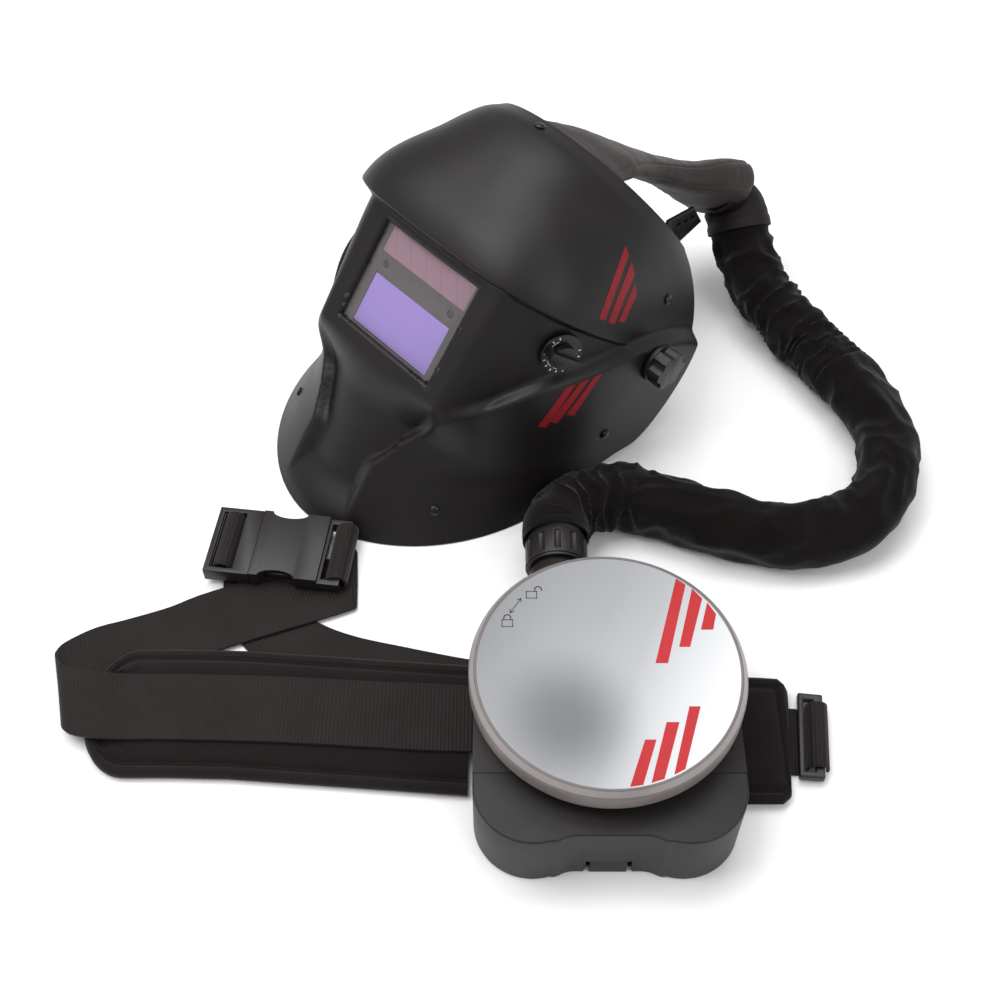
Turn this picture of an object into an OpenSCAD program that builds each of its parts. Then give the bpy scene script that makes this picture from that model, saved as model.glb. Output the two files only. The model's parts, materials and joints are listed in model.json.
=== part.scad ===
// Powered air respirator: a hip-worn blower on a padded belt feeds filtered air through a
// sleeved hose and an over-the-head duct to a welding helmet with an auto-darkening filter.
// The blower lies on its back, the helmet stands on its lower edge, and the belt lies loose.
// Origin: centre of the blower's back face. +Z points out of the blower, away from the wearer.

/* [Blower] */
// Outside diameter of the round filter cover
cover_d = 178; // [164:1:186]
// Height of the filter cover's rim
cover_h = 17; // [14:0.5:20]
// Height of the cover's top plate above the back face
cover_top = 86.5; // [84:0.5:100]
// Height of the housing's flat shoulder and of the battery
body_h = 56; // [48:0.5:58]
// Wall of the moulded housings
body_wall = 2.5; // [1.6:0.1:3]
// Height of the joint between the rear and front housings
split_z = 30; // [26:0.5:34]
// Distance from the disc centre to the battery's flat front
battery_reach = 100; // [94:1:120]
// Radius of the battery's two lobes
lobe_r = 38; // [32:0.5:40]
// Sideways distance of the lobe centres
lobe_x = 48; // [42:0.5:50]
// How far the battery slides out of its bay
battery_travel = 62; // [40:1:70]
// Radius of a battery cell
cell_r = 8.3; // [7:0.1:8.3]
// Length of a battery cell
cell_len = 65; // [50:1:66]

/* [Fan and filter] */
// Radius of the fan wheel
fan_r = 38; // [30:0.5:40]
// Height of the fan wheel
fan_h = 16; // [12:0.5:18]
// Number of fan blades
fan_blades = 12; // [8:1:16]
// Radius of the motor shaft
shaft_r = 2; // [1.5:0.1:3]
// Radius of the particle filter
filter_r = 72; // [60:1:74]
// Height of the particle filter
filter_h = 15; // [12:0.5:16]

/* [Outlet and hose] */
// Sideways place of the outlet
outlet_x = -28; // [-32:1:-24]
// Height of the outlet's axis
outlet_z = 30; // [28:0.5:32]
// Outside radius of the outlet spigot
spigot_r = 18; // [14:0.5:19]
// Outside radius of the hose collar
collar_r = 22.5; // [21:0.5:23.5]
// Length of the hose collar
collar_len = 25; // [20:1:27]
// Outside radius of the fabric hose sleeve
sleeve_r = 24; // [23:0.5:24]
// Thickness of the fabric hose sleeve
sleeve_wall = 1.6; // [1:0.1:2]
// Outside radius of the corrugated breathing hose
hose_r = 19.5; // [17:0.5:21]
// Wall of the breathing hose
hose_wall = 3; // [1.5:0.5:4]

/* [Helmet] */
// Width of the helmet shell at its cheeks
shell_w = 236; // [228:1:246]
// Wall of the helmet shell
shell_wall = 3; // [2.5:0.1:3.6]
// How far the cheeks and the chin skirt stand out of the face panel
cheek_out = 9; // [4:0.5:12]
// How far the brim stands out over the face panel
brim_out = 11; // [5:0.5:14]
// Backward lean of the standing helmet
helmet_lean = 40; // [39:0.5:41]
// Direction that the helmet faces, turned from +X
helmet_heading = 223; // [221:0.5:225]
// Largest tilt of the shell on its headgear
shell_tilt = 50; // [30:1:55]
// Width of the window
window_w = 97; // [84:1:100]
// Height of the window
window_h = 79; // [70:1:82]
// Width of the auto-darkening cartridge
cartridge_w = 110; // [104:1:114]
// Height of the auto-darkening cartridge
cartridge_h = 90; // [84:1:94]
// Thickness of the auto-darkening cartridge
cartridge_t = 9; // [6:0.5:10]
// Radius of the shade dial's bezel
dial_r = 16; // [13:0.5:18]

/* [Headgear] */
// Half length of the headband, front to back
band_a = 92; // [80:1:96]
// Half width of the headband, side to side
band_b = 76; // [68:1:82]
// Height of the headband
band_h = 22; // [16:1:28]
// Thickness of the headband
band_t = 2.2; // [1.6:0.1:3]
// Radius of the pivot bolts
bolt_r = 4; // [3:0.1:5]
// Radius of the pivot knobs
knob_r = 15; // [12:0.5:18]

/* [Belt] */
// Width of the webbing
web_w = 50; // [38:1:52]
// Thickness of the webbing
web_t = 2; // [1.4:0.1:2.4]
// Width of the comfort pads
pad_w = 98; // [80:1:104]
// Thickness of the comfort pads
pad_t = 8; // [5:0.5:9]
// Thickness of the buckle
buckle_t = 14; // [12:0.5:17]
// Angle that a buckle arm squeezes in
arm_squeeze = 6; // [3:0.5:8]

/* [Hidden] */
// Running clearance of shafts
run = 0.06;
// Clearance between neighbouring pieces
gap = 0.3;
// Number of sides of smooth cylinders
$fn = 64;

helmet_at = [-38, 357, 86.5];
body_r = cover_d / 2 - 3;
cover_z = cover_top - cover_h;
skirt_z = cover_z - 7;
filter_z = body_h + 2.8;
lobe_y = -(battery_reach + 5 - lobe_r);
bay_y = -58;
fan_z = 13;
scroll_r = fan_r + 8;
spigot_y0 = 62;
neck_y = 112;
collar_y = neck_y + 1;
hose_y0 = 140;

// Centre line of the hose, from the collar, along the table, up to the head duct's elbow
HOSE = [
    [-28, 140, 30], [-28, 150, 30], [-23, 162, 28.5], [-13, 173, 26.5], [0, 181, 25.5],
    [16, 184, 25], [34, 182, 24.5], [56, 175, 24.5], [78, 166, 24.5], [100, 158, 24.5],
    [122, 152, 24.5], [144, 149, 24.5], [166, 151, 24.5], [187, 158, 24.5], [205, 171, 24.5],
    [219, 191, 24.5], [227, 214, 24.5], [230, 240, 24.5], [226, 265, 24.5], [216, 288, 24.5],
    [203, 311, 24.5], [190, 333, 25], [176, 354, 26], [168, 367, 27.2], [160, 379.5, 28.8],
    [153, 392.5, 31], [147, 405.5, 34.3], [142, 418.5, 39], [137.7, 431.5, 45.8],
    [134.3, 443.5, 54.2], [131.7, 454.6, 63.9]
];

// Rows of the shell from the chin to the rear of the crown: how far up, the centre line's
// forward and upward place, the edge's forward and upward place, half width and squareness
SHELL = [
    [0.00, 126, -221.3, 23, -131.3, 0.975, 1.9],
    [0.10, 129, -188, 0, -106, 0.975, 1.9],
    [0.22, 132, -148, -24, -86, 0.980, 1.9],
    [0.36, 137, -100, -44, -70, 0.990, 2.3],
    [0.50, 142, -50, -52, -42, 1.000, 3.0],
    [0.62, 144, 0, -54, -6, 1.000, 3.5],
    [0.72, 142, 38, -52, 22, 0.975, 3.3],
    [0.82, 130, 76, -42, 46, 0.915, 2.6],
    [0.92, 107, 103, -26, 66, 0.850, 2.2],
    [1.00, 84, 113, -10, 80, 0.790, 2.0]
];
// Crease over each cheek: share of the way round the side, how far up the shell
CREASE = [
    [0.00, 0.16], [0.18, 0.19], [0.25, 0.28], [0.38, 0.40], [0.55, 0.51],
    [0.75, 0.59], [0.88, 0.655], [1.00, 0.72]
];
// Where the brim's lower edge runs, how far up the shell
brim_v = 0.637;
SHELL_V = [
    0, 0.03, 0.06, 0.09, 0.12, 0.16, 0.2, 0.24, 0.28, 0.32, 0.36, 0.4, 0.44, 0.48, 0.52,
    0.56, 0.6, 0.625, 0.645, 0.67, 0.7, 0.74, 0.78, 0.82, 0.86, 0.9, 0.94, 0.97, 1
];
shell_cols = 36;

// Window centre and cartridge planes, in the helmet's own frame
window_at = [142, 0, -39];
lens_x = 138.6;
case_x = lens_x - 2.3;

// Head duct: centre, half width, half height, and the tilt of its width
DUCT = [
    [[66, 0, 93], 54, 7, 0], [[44, 1, 100], 50, 8, 0], [[20, 4, 106], 40, 9, 0],
    [[-6, 8, 109], 30, 10, 5], [[-34, 12, 110], 24, 11, 12], [[-62, 17, 112], 22, 12, 20],
    [[-88, 21, 114], 25, 14, 30], [[-112, 24, 117], 31, 17, 40], [[-137, 27.4, 119.2], 34, 19, 46]
];
duct_wall = 2.5;

// ---------------------------------------------------------------- shared functions

function unit(v) = v / norm(v);
function smooth(x) = let (c = min(max(x, 0), 1)) c * c * (3 - 2 * c);
function power(x, p) = sign(x) * pow(abs(x), p);
function mix(a, b, t) = a + (b - a) * t;

// Straight interpolation in a list of [x, y] pairs
function along(pairs, x, i = 0) =
    x <= pairs[0][0] ? pairs[0][1]
    : i >= len(pairs) - 1 ? pairs[len(pairs) - 1][1]
    : x <= pairs[i + 1][0]
        ? mix(pairs[i][1], pairs[i + 1][1], (x - pairs[i][0]) / (pairs[i + 1][0] - pairs[i][0]))
        : along(pairs, x, i + 1);

// Smooth interpolation between rows whose first value is the position
function row_slope(rows, i) =
    let (a = max(i - 1, 0), b = min(i + 1, len(rows) - 1))
    (rows[b] - rows[a]) / (rows[b][0] - rows[a][0]);
function row_index(rows, v, i = 0) =
    i >= len(rows) - 2 || v <= rows[i + 1][0] ? i : row_index(rows, v, i + 1);
function row_at(rows, v) =
    let (i = row_index(rows, v), h = rows[i + 1][0] - rows[i][0], t = (v - rows[i][0]) / h)
    (2 * t * t * t - 3 * t * t + 1) * rows[i]
    + (t * t * t - 2 * t * t + t) * h * row_slope(rows, i)
    + (3 * t * t - 2 * t * t * t) * rows[i + 1]
    + (t * t * t - t * t) * h * row_slope(rows, i + 1);

function tangent(p, i) = unit(p[min(i + 1, len(p) - 1)] - p[max(i - 1, 0)]);

// One ring of points about c, in the plane of u and w
function ring(c, u, w, a, b, n, squareness = 2) = [
    for (k = [0:n - 1]) let (q = 360 * k / n)
        c + u * a * power(cos(q), 2 / squareness) + w * b * power(sin(q), 2 / squareness)
];

// Round rings along a route that is nowhere vertical
function route_rings(p, r, n) = [
    for (i = [0:len(p) - 1])
        let (t = tangent(p, i), u = unit(cross(t, [0, 0, 1])))
        ring(p[i], u, cross(u, t), r, r, n)
];

// A hollow tube between outer and inner rings
module hollow(outer, inner) {
    m = len(outer);
    n = len(outer[0]);
    points = [for (rings = [outer, inner]) for (one = rings) for (p = one) p];
    faces = concat(
        [for (i = [0:m - 2]) for (k = [0:n - 1]) let (j = (k + 1) % n)
            [i * n + k, i * n + j, (i + 1) * n + j, (i + 1) * n + k]],
        [for (i = [0:m - 2]) for (k = [0:n - 1]) let (j = (k + 1) % n, o = m * n)
            [o + i * n + k, o + (i + 1) * n + k, o + (i + 1) * n + j, o + i * n + j]],
        [for (k = [0:n - 1]) let (j = (k + 1) % n, o = m * n) [k, o + k, o + j, j]],
        [for (k = [0:n - 1]) let (j = (k + 1) % n, e = (m - 1) * n, o = m * n + e)
            [e + k, e + j, o + j, o + k]]
    );
    polyhedron(points = points, faces = faces, convexity = 6);
}

module ring_bar(r_out, r_in, h) {
    difference() {
        cylinder(r = r_out, h = h);
        translate([0, 0, -1]) cylinder(r = r_in, h = h + 2);
    }
}

// A cylinder that runs along +Y
module along_y(r, h) {
    rotate([-90, 0, 0]) cylinder(r = r, h = h);
}

module in_helmet() {
    translate(helmet_at) rotate([0, 0, helmet_heading]) rotate([0, -helmet_lean, 0]) children();
}

// ---------------------------------------------------------------- blower

// Plan of the housing: a round body that runs down to the battery bay
module body_plan(inset = 0) {
    difference() {
        union() {
            circle(r = body_r - inset);
            translate([-body_r + inset, bay_y + inset]) square([2 * (body_r - inset), -bay_y]);
        }
        translate([-2 * body_r, bay_y - 2 * body_r + inset]) square([4 * body_r, 2 * body_r]);
    }
}

// Plan of the battery: two round lobes with a flat between them
module battery_plan(inset = 0) {
    flat_w = 2 * (lobe_x - sqrt(lobe_r * lobe_r - pow(battery_reach + lobe_y, 2)));
    difference() {
        union() {
            for (side = [-1, 1]) translate([side * lobe_x, lobe_y]) circle(r = lobe_r - inset);
            translate([-lobe_x, -battery_reach + inset])
                square([2 * lobe_x, battery_reach + bay_y - gap - 2 * inset]);
            translate([-lobe_x - lobe_r + inset, lobe_y])
                square([2 * (lobe_x + lobe_r - inset), bay_y - gap - lobe_y - inset]);
        }
        translate([-2 * body_r, bay_y - gap - inset]) square([4 * body_r, body_r]);
    }
}

module screw_places(r) {
    for (a = [38, 142, 218, 322]) rotate([0, 0, a]) translate([body_r - 9, 0, 0]) children();
}

module outlet_cut(r) {
    translate([outlet_x, 50, outlet_z]) along_y(r, 60);
}

module rear_housing() {
    web_room = web_t + 2 * gap;
    color("#2b2826") difference() {
        union() {
            difference() {
                linear_extrude(split_z) body_plan();
                translate([0, 0, body_wall + 2.6]) linear_extrude(split_z) body_plan(body_wall);
            }
            for (a = [38, 142, 218, 322]) rotate([0, 0, a]) translate([body_r - 9, 0, 3])
                cylinder(r = 5, h = split_z - 3);
        }
        translate([-body_r - 5, -37, -1]) cube([2 * body_r + 10, 100, web_room + 1]);
        outlet_cut(spigot_r + gap);
        screw_places() translate([0, 0, -1]) cylinder(r = 4.2, h = 8);
        screw_places() translate([0, 0, 0]) cylinder(r = 1.8, h = split_z + 1);
    }
}

module front_housing() {
    tower_r = filter_r + 4;
    color("#2e2b29") difference() {
        union() {
            translate([0, 0, split_z]) linear_extrude(body_h - split_z) body_plan();
            translate([0, 0, body_h]) cylinder(r = tower_r, h = filter_h);
            translate([0, 0, body_h]) cylinder(r = body_r - 3, h = 3);
        }
        translate([0, 0, split_z - 1]) linear_extrude(body_h - body_wall - split_z + 1)
            body_plan(body_wall);
        translate([0, 0, filter_z - 1]) cylinder(r = filter_r + gap, h = 60);
        translate([0, 0, split_z]) cylinder(r = fan_r - 6, h = 60);
        outlet_cut(spigot_r + gap);
        translate([button_x, 60, button_z]) along_y(button_r + gap, 40);
    }
    color("#2e2b29") difference() {
        for (a = [38, 142, 218, 322]) rotate([0, 0, a]) translate([body_r - 9, 0, split_z])
            cylinder(r = 5, h = body_h - 1 - split_z);
        screw_places() translate([0, 0, split_z - 1]) cylinder(r = 1.8, h = 14);
    }
}

module filter_cover() {
    plate_r = cover_d / 2 - 5;
    slots = 30;
    color("#9c9c9e") difference() {
        rotate_extrude() polygon([
            [0, cover_top - 2.4], [plate_r - 0.5, cover_top - 2.4], [cover_d / 2 - 3, cover_top - 7],
            [cover_d / 2 - 3, cover_z + 1], [body_r - 2.6, cover_z], [body_r - 2.6, skirt_z],
            [body_r - 0.4, skirt_z], [body_r, cover_z], [cover_d / 2, cover_z + 1.5],
            [cover_d / 2, cover_top - 5.5], [plate_r + 1, cover_top], [plate_r, cover_top],
            [plate_r, cover_top - 0.6], [0, cover_top - 0.6]
        ]);
        for (i = [0:slots - 1]) rotate([0, 0, i * 360 / slots])
            translate([body_r - 6, -5.5, skirt_z + 2]) cube([10, 11, 2.2]);
    }
}

module cover_label() {
    color("#b9bbbf") translate([0, 0, cover_top - 0.6])
        cylinder(r = cover_d / 2 - 5 - 0.2, h = 0.5);
}

module spark_arrestor() {
    color("#8a8c90") translate([0, 0, filter_z + filter_h + 0.7]) difference() {
        cylinder(r = filter_r - 1, h = 1.2);
        for (a = [0:30:330]) rotate([0, 0, a]) translate([filter_r - 18, 0, -1])
            cylinder(r = 3, h = 4);
    }
}

module particle_filter() {
    pleats = 24;
    color("#e8e4d8") translate([0, 0, filter_z]) difference() {
        cylinder(r = filter_r, h = filter_h - 0.5);
        for (i = [0:pleats - 1]) translate([-filter_r + 6 + i * (2 * filter_r - 12) / pleats,
            -filter_r * 0.6, filter_h - 6]) cube([1.6, filter_r * 1.2, 10]);
    }
}

module filter_gasket() {
    color("#1c1c1e") translate([0, 0, filter_z + filter_h - 0.5])
        ring_bar(filter_r, filter_r - 5, 1.2);
}

module fan_scroll() {
    color("#3a3a3c") difference() {
        union() {
            translate([0, 0, fan_z - 2]) cylinder(r = scroll_r + 2, h = fan_h + 8);
            translate([outlet_x - 18, 0, fan_z - 2]) cube([34, spigot_y0 - 1, fan_h + 8]);
        }
        translate([0, 0, fan_z]) cylinder(r = scroll_r, h = fan_h + 4);
        translate([outlet_x - 16, 0, fan_z]) cube([30, spigot_y0, fan_h + 4]);
        translate([0, 0, fan_z]) cylinder(r = fan_r - 8, h = fan_h + 20);
        translate([0, 0, fan_z - 10]) cylinder(r = shaft_r + 3, h = 20);
    }
}

module fan_impeller() {
    color("#d9d9d6") {
        difference() {
            translate([0, 0, fan_z + 1]) cylinder(r = fan_r, h = 1.5);
            translate([0, 0, fan_z - 5]) cylinder(r = shaft_r + run, h = 20);
        }
        translate([0, 0, fan_z + 2.5]) ring_bar(7, shaft_r + run, fan_h - 5);
        for (i = [0:fan_blades - 1]) rotate([0, 0, i * 360 / fan_blades])
            translate([fan_r * 0.55, 0, fan_z + 2.5]) rotate([0, 0, 28])
                cube([fan_r * 0.36, 1.4, fan_h - 4]);
    }
}

module motor_shaft() {
    color("#c8c8cc") translate([0, 0, body_wall + 4.2]) cylinder(r = shaft_r, h = fan_z + fan_h - 10);
}

module motor() {
    color("#6a6c70") difference() {
        translate([0, 0, body_wall + 2.7]) cylinder(r = 20, h = fan_z - body_wall - 5);
        translate([0, 0, body_wall + 4]) cylinder(r = shaft_r + run, h = 30);
    }
}

module circuit_board() {
    color("#1f5a34") translate([-34, bay_y + 4, body_wall + 3.6]) cube([68, 10, 1.6]);
    color("#222") for (x = [-24, -4, 16]) translate([x, bay_y + 5.5, body_wall + 5.2])
        cube([10, 6, 1.4]);
}

button_x = 34;
button_z = 40;
button_r = 6;
button_travel = 1.5;
button_y = sqrt(body_r * body_r - button_x * button_x);

module power_button() {
    color("#3b3b3d") translate([button_x, button_y - 9, button_z]) along_y(button_r, 11);
}

module battery_case() {
    color("#2c2927") difference() {
        translate([0, 0, gap]) linear_extrude(body_h - 2 * gap) battery_plan();
        translate([0, 0, gap + body_wall]) linear_extrude(body_h - 2 * body_wall - gap)
            battery_plan(body_wall + 0.5);
        for (side = [-1, 1]) translate([side * 13.5 - 1.5, -battery_reach - 1, -1])
            cube([3, 5, 17]);
        translate([-12 - gap, -battery_reach - 1, -1]) cube([24 + 2 * gap, 6, 17 + gap]);
        translate([-30, bay_y - 8, 18]) cube([60, 20, 8]);
        translate([-lobe_x - lobe_r - 5, charge_y, charge_z]) rotate([0, 90, 0])
            cylinder(r = charge_r, h = 30);
    }
}

charge_r = 2.75;
charge_y = -68;
charge_z = 14;

module battery_cells() {
    color("#3f6fb0") for (row = [0, 1]) for (i = [0:1]) for (side = [-1, 1])
        translate([side * (cell_len / 2 + 1.5) - cell_len / 2 + side * 0,
            -battery_reach + body_wall + 1 + cell_r + i * 2 * (cell_r + 0.2),
            gap + body_wall + cell_r + 5 + row * 2 * (cell_r + 0.2) + 8])
            rotate([0, 90, 0]) cylinder(r = cell_r, h = cell_len);
}

module battery_contacts() {
    color("#c9a24a") for (x = [-20, -7, 6, 19]) translate([x, bay_y - 4.6, 18])
        cube([1.2, 3.6, 4]);
}

module battery_latch() {
    color("#2c2927") translate([-12, -battery_reach, gap]) cube([24, 3, 16 - gap]);
}

module housing_screws() {
    color("#8d8f93") screw_places() {
        translate([0, 0, 4.2]) cylinder(r = 4, h = 2.6);
        translate([0, 0, 6.8]) cylinder(r = 1.7, h = split_z);
    }
}

// ---------------------------------------------------------------- outlet and hose

module outlet_spigot() {
    ribs = 4;
    color("#262322") translate([outlet_x, 0, outlet_z]) rotate([-90, 0, 0]) difference() {
        union() {
            translate([0, 0, spigot_y0]) cylinder(r = spigot_r, h = neck_y + 16 - spigot_y0);
            translate([0, 0, body_r + gap])
                cylinder(r = spigot_r + 2, h = neck_y - 2 - body_r - gap);
            for (i = [0:ribs - 1]) translate([0, 0, body_r + 3 + i * 4.5])
                cylinder(r = spigot_r + 3.6, h = 2);
        }
        translate([0, 0, spigot_y0 - 1]) cylinder(r = spigot_r - 3, h = 100);
        translate([0, 0, neck_y + 8]) ring_bar(spigot_r + 2, spigot_r - 1.2, 2.4);
    }
}

module outlet_seal() {
    color("#b4552d") translate([outlet_x, neck_y + 9.2, outlet_z]) rotate([90, 0, 0])
        rotate_extrude() translate([spigot_r - 0.3, 0]) circle(r = 0.9, $fn = 24);
}

module hose_collar() {
    flutes = 12;
    color("#1f1d1c") translate([outlet_x, collar_y, outlet_z]) rotate([-90, 0, 0]) difference() {
        union() {
            cylinder(r = collar_r - 1, h = collar_len);
            translate([0, 0, 2]) cylinder(r = collar_r, h = collar_len - 5);
        }
        translate([0, 0, -1]) cylinder(r = spigot_r + 0.8, h = 18);
        cylinder(r = hose_r - 1.4, h = collar_len + 2);
        for (i = [0:flutes - 1]) rotate([0, 0, i * 360 / flutes])
            translate([collar_r + 1.6, 0, 5]) cylinder(r = 3, h = collar_len - 9);
    }
}

module hose_cuff() {
    color("#2a2827") translate([outlet_x, neck_y + 16.5, outlet_z]) rotate([-90, 0, 0])
        ring_bar(hose_r - 2, spigot_r - 4.5, hose_y0 - neck_y - 16.5 - 0.1);
}

module breathing_hose() {
    color("#45474a") hollow(route_rings(HOSE, hose_r, 12), route_rings(HOSE, hose_r - hose_wall, 12));
}

module hose_sleeve() {
    color("#171413")
        hollow(route_rings(HOSE, sleeve_r, 12), route_rings(HOSE, sleeve_r - sleeve_wall, 12));
}

// The elbow's centre line, from the head duct's tail to the top of the hose
function elbow_points() =
    let (a = helmet_point([-137.3, 27.5, 119.3]), e = HOSE[len(HOSE) - 1],
        t = tangent(HOSE, len(HOSE) - 1), b = a + helmet_dir([-12.2, 1.7, 0.8]), c = e + t * 12.3)
    [for (i = [0:8]) let (s = i / 8)
        pow(1 - s, 3) * a + 3 * s * pow(1 - s, 2) * b + 3 * s * s * (1 - s) * c
        + s * s * s * (e + t * 0.3)];
function helmet_dir(p) =
    let (x = p[0] * cos(helmet_lean) - p[2] * sin(helmet_lean),
        z = p[0] * sin(helmet_lean) + p[2] * cos(helmet_lean))
    [x * cos(helmet_heading) - p[1] * sin(helmet_heading),
        x * sin(helmet_heading) + p[1] * cos(helmet_heading), z];
function helmet_point(p) = helmet_at + helmet_dir(p);

module duct_elbow() {
    p = elbow_points();
    color("#38302f") hollow(route_rings(p, 20, 16), route_rings(p, 17, 16));
}

// ---------------------------------------------------------------- head duct and headgear

function duct_rings(trim) = [
    for (i = [0:len(DUCT) - 1])
        let (d = DUCT[i], c = [for (q = DUCT) q[0]], t = tangent(c, i),
            level = unit([0, 1, 0] - t * t[1]), high = cross(t, level),
            u = level * cos(d[3]) - high * sin(d[3]), w = cross(t, u))
        ring(d[0], u, w, d[1] - trim, d[2] - trim, 20, 2.4)
];

module head_duct() {
    color("#3a3231") in_helmet() hollow(duct_rings(0), duct_rings(duct_wall));
}

module duct_strap() {
    color("#1d1c1c") in_helmet() translate([0, 41, 0]) rotate([90, 0, 0]) difference() {
        linear_extrude(2.2) polygon([
            [-66, 82], [-92, 99], [-116, 90], [-100, 68], [-92, 40], [-84, 10], [-76, 10], [-77, 48]
        ]);
        for (i = [0:2]) translate([-84 - 7.5 * i, 82 + 4.5 * i, -5]) cylinder(r = 2, h = 20);
    }
}

// The headband: an oval ring that is higher at the forehead than at the nape
module on_band() {
    translate([-4, 0, 22]) rotate([0, -10, 0]) children();
}

module oval(a, b) {
    scale([a, b]) circle(r = 1, $fn = 72);
}

module headband() {
    color("#202022") in_helmet() on_band() linear_extrude(band_h) difference() {
        oval(band_a, band_b);
        oval(band_a - band_t, band_b - band_t);
    }
}

module sweatband() {
    color("#4a4644") in_helmet() on_band() translate([0, 0, -2]) linear_extrude(band_h + 4)
        intersection() {
            difference() {
                oval(band_a - band_t - gap, band_b - band_t - gap);
                oval(band_a - band_t - 5, band_b - band_t - 5);
            }
            translate([20, -100]) square([100, 200]);
        }
}

module crown_band() {
    color("#202022") in_helmet() translate([-8, 0, 36]) rotate([90, 0, 90]) linear_extrude(16)
        difference() {
            intersection() {
                oval(band_b, 60);
                translate([-100, 8]) square([200, 100]);
            }
            oval(band_b - band_t, 60 - band_t);
        }
}

ratchet_x = -band_a - 6;

module on_ratchet() {
    on_band() translate([-band_a, 0, band_h / 2]) rotate([0, -90, 0]) children();
}

module ratchet_housing() {
    color("#202022") in_helmet() on_ratchet() difference() {
        translate([-13, -32, 0.3]) cube([26, 64, 8]);
        translate([0, 0, -5]) cylinder(r = 4 + run, h = 30);
        translate([0, 0, 3]) cylinder(r = 10, h = 3);
    }
}

module ratchet_knob() {
    color("#262628") in_helmet() on_ratchet() {
        translate([0, 0, 1]) cylinder(r = 4, h = 8);
        translate([0, 0, 3.4]) cylinder(r = 8, h = 2.2);
        difference() {
            translate([0, 0, 8.8]) cylinder(r = 17, h = 11);
            for (i = [0:11]) rotate([0, 0, i * 30]) translate([18.6, 0, 8]) cylinder(r = 3, h = 20);
        }
    }
}

module side_bracket(side) {
    arm_y = 106;
    color("#202022") in_helmet() difference() {
        union() {
            translate([-14, min(side * arm_y, side * (arm_y + 3)), -14]) cube([28, 3, 46]);
            translate([-12, min(side * (band_b + gap), side * arm_y), 24])
                cube([24, arm_y - band_b - gap, 8]);
        }
        rotate([90, 0, 0]) translate([0, 0, -200]) cylinder(r = bolt_r, h = 400);
    }
}

module side_bracket_left() {
    side_bracket(1);
}

module side_bracket_right() {
    side_bracket(-1);
}

// Turns a child's +Z to point out of the helmet on the given side
module outward(side) {
    rotate([-90 * side, 0, 0]) children();
}

module pivot_bolts() {
    color("#9a9a9e") in_helmet() for (side = [-1, 1]) outward(side) {
        translate([0, 0, 102.4]) cylinder(r = bolt_r + 4, h = 3.4);
        translate([0, 0, 102.4]) cylinder(r = bolt_r, h = 35);
        translate([0, 0, 109.2]) ring_bar(bolt_r + 6, bolt_r + 0.02, 1.4);
    }
}

module pivot_knob(side) {
    lobes = 6;
    color("#141313") in_helmet() outward(side) difference() {
        union() {
            translate([0, 0, 127.5]) cylinder(r = knob_r + 1, h = 3);
            translate([0, 0, 130]) cylinder(r = knob_r, h = 12);
        }
        translate([0, 0, 120]) cylinder(r = bolt_r + run, h = 18);
        for (i = [0:lobes - 1]) rotate([0, 0, i * 360 / lobes])
            translate([knob_r + 3.4, 0, 130.6]) cylinder(r = 6, h = 20);
    }
}

module pivot_knob_left() {
    pivot_knob(1);
}

module pivot_knob_right() {
    pivot_knob(-1);
}

// ---------------------------------------------------------------- helmet shell

// How far the cheeks, the chin skirt and the brim stand out at a place on the shell
function stand_out(v, s) =
    let (a = abs(s), c = along(CREASE, a),
        cheek = smooth((c - v) / 0.04 + 0.5) * smooth((a - 0.13) / 0.07),
        skirt = smooth((0.12 - v) / 0.10),
        brim = smooth((v - brim_v) / 0.012) * smooth((0.84 - v) / 0.2) * smooth((0.97 - a) / 0.5))
    cheek_out * max(cheek, skirt) + brim_out * brim;

// How much of the flat that carries the window is used at a place
function flat_share(y, u) =
    smooth((86 - abs(y)) / 24) * smooth((u + 114) / 20) * smooth((26 - u) / 14);

// A point of the shell, moved out by more: v runs up the shell and s runs across it
function shell_point(v, s, more = 0) =
    let (k = row_at(SHELL, v), o = stand_out(v, s) + more, q = 90 * abs(s),
        up = 75 * max(v - 0.6, 0) / 0.4, down = 20 * max(0.15 - v, 0) / 0.15,
        round_in = 1 - pow(cos(q), 2 / k[6]),
        y = sign(s) * (k[5] * shell_w / 2 + o) * pow(sin(q), 2 / k[6]),
        u = mix(k[2] + o * sin(up - down), k[4], round_in),
        f = mix(k[1] + o * cos(up - down), k[3], round_in))
    [max(f, mix(f, window_at[0] + more, flat_share(y, u))), y, u];

function shell_normal(v, s) =
    let (e = 0.004, n = cross(shell_point(v, s + e) - shell_point(v, s - e),
        shell_point(v + e, s) - shell_point(v - e, s)))
    unit(n);

// Puts its children on the shell, with +Z along the surface's outward normal
module on_shell(v, s) {
    n = shell_normal(v, s);
    translate(shell_point(v, s)) rotate([0, acos(n[2]), atan2(n[1], n[0])]) children();
}

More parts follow.
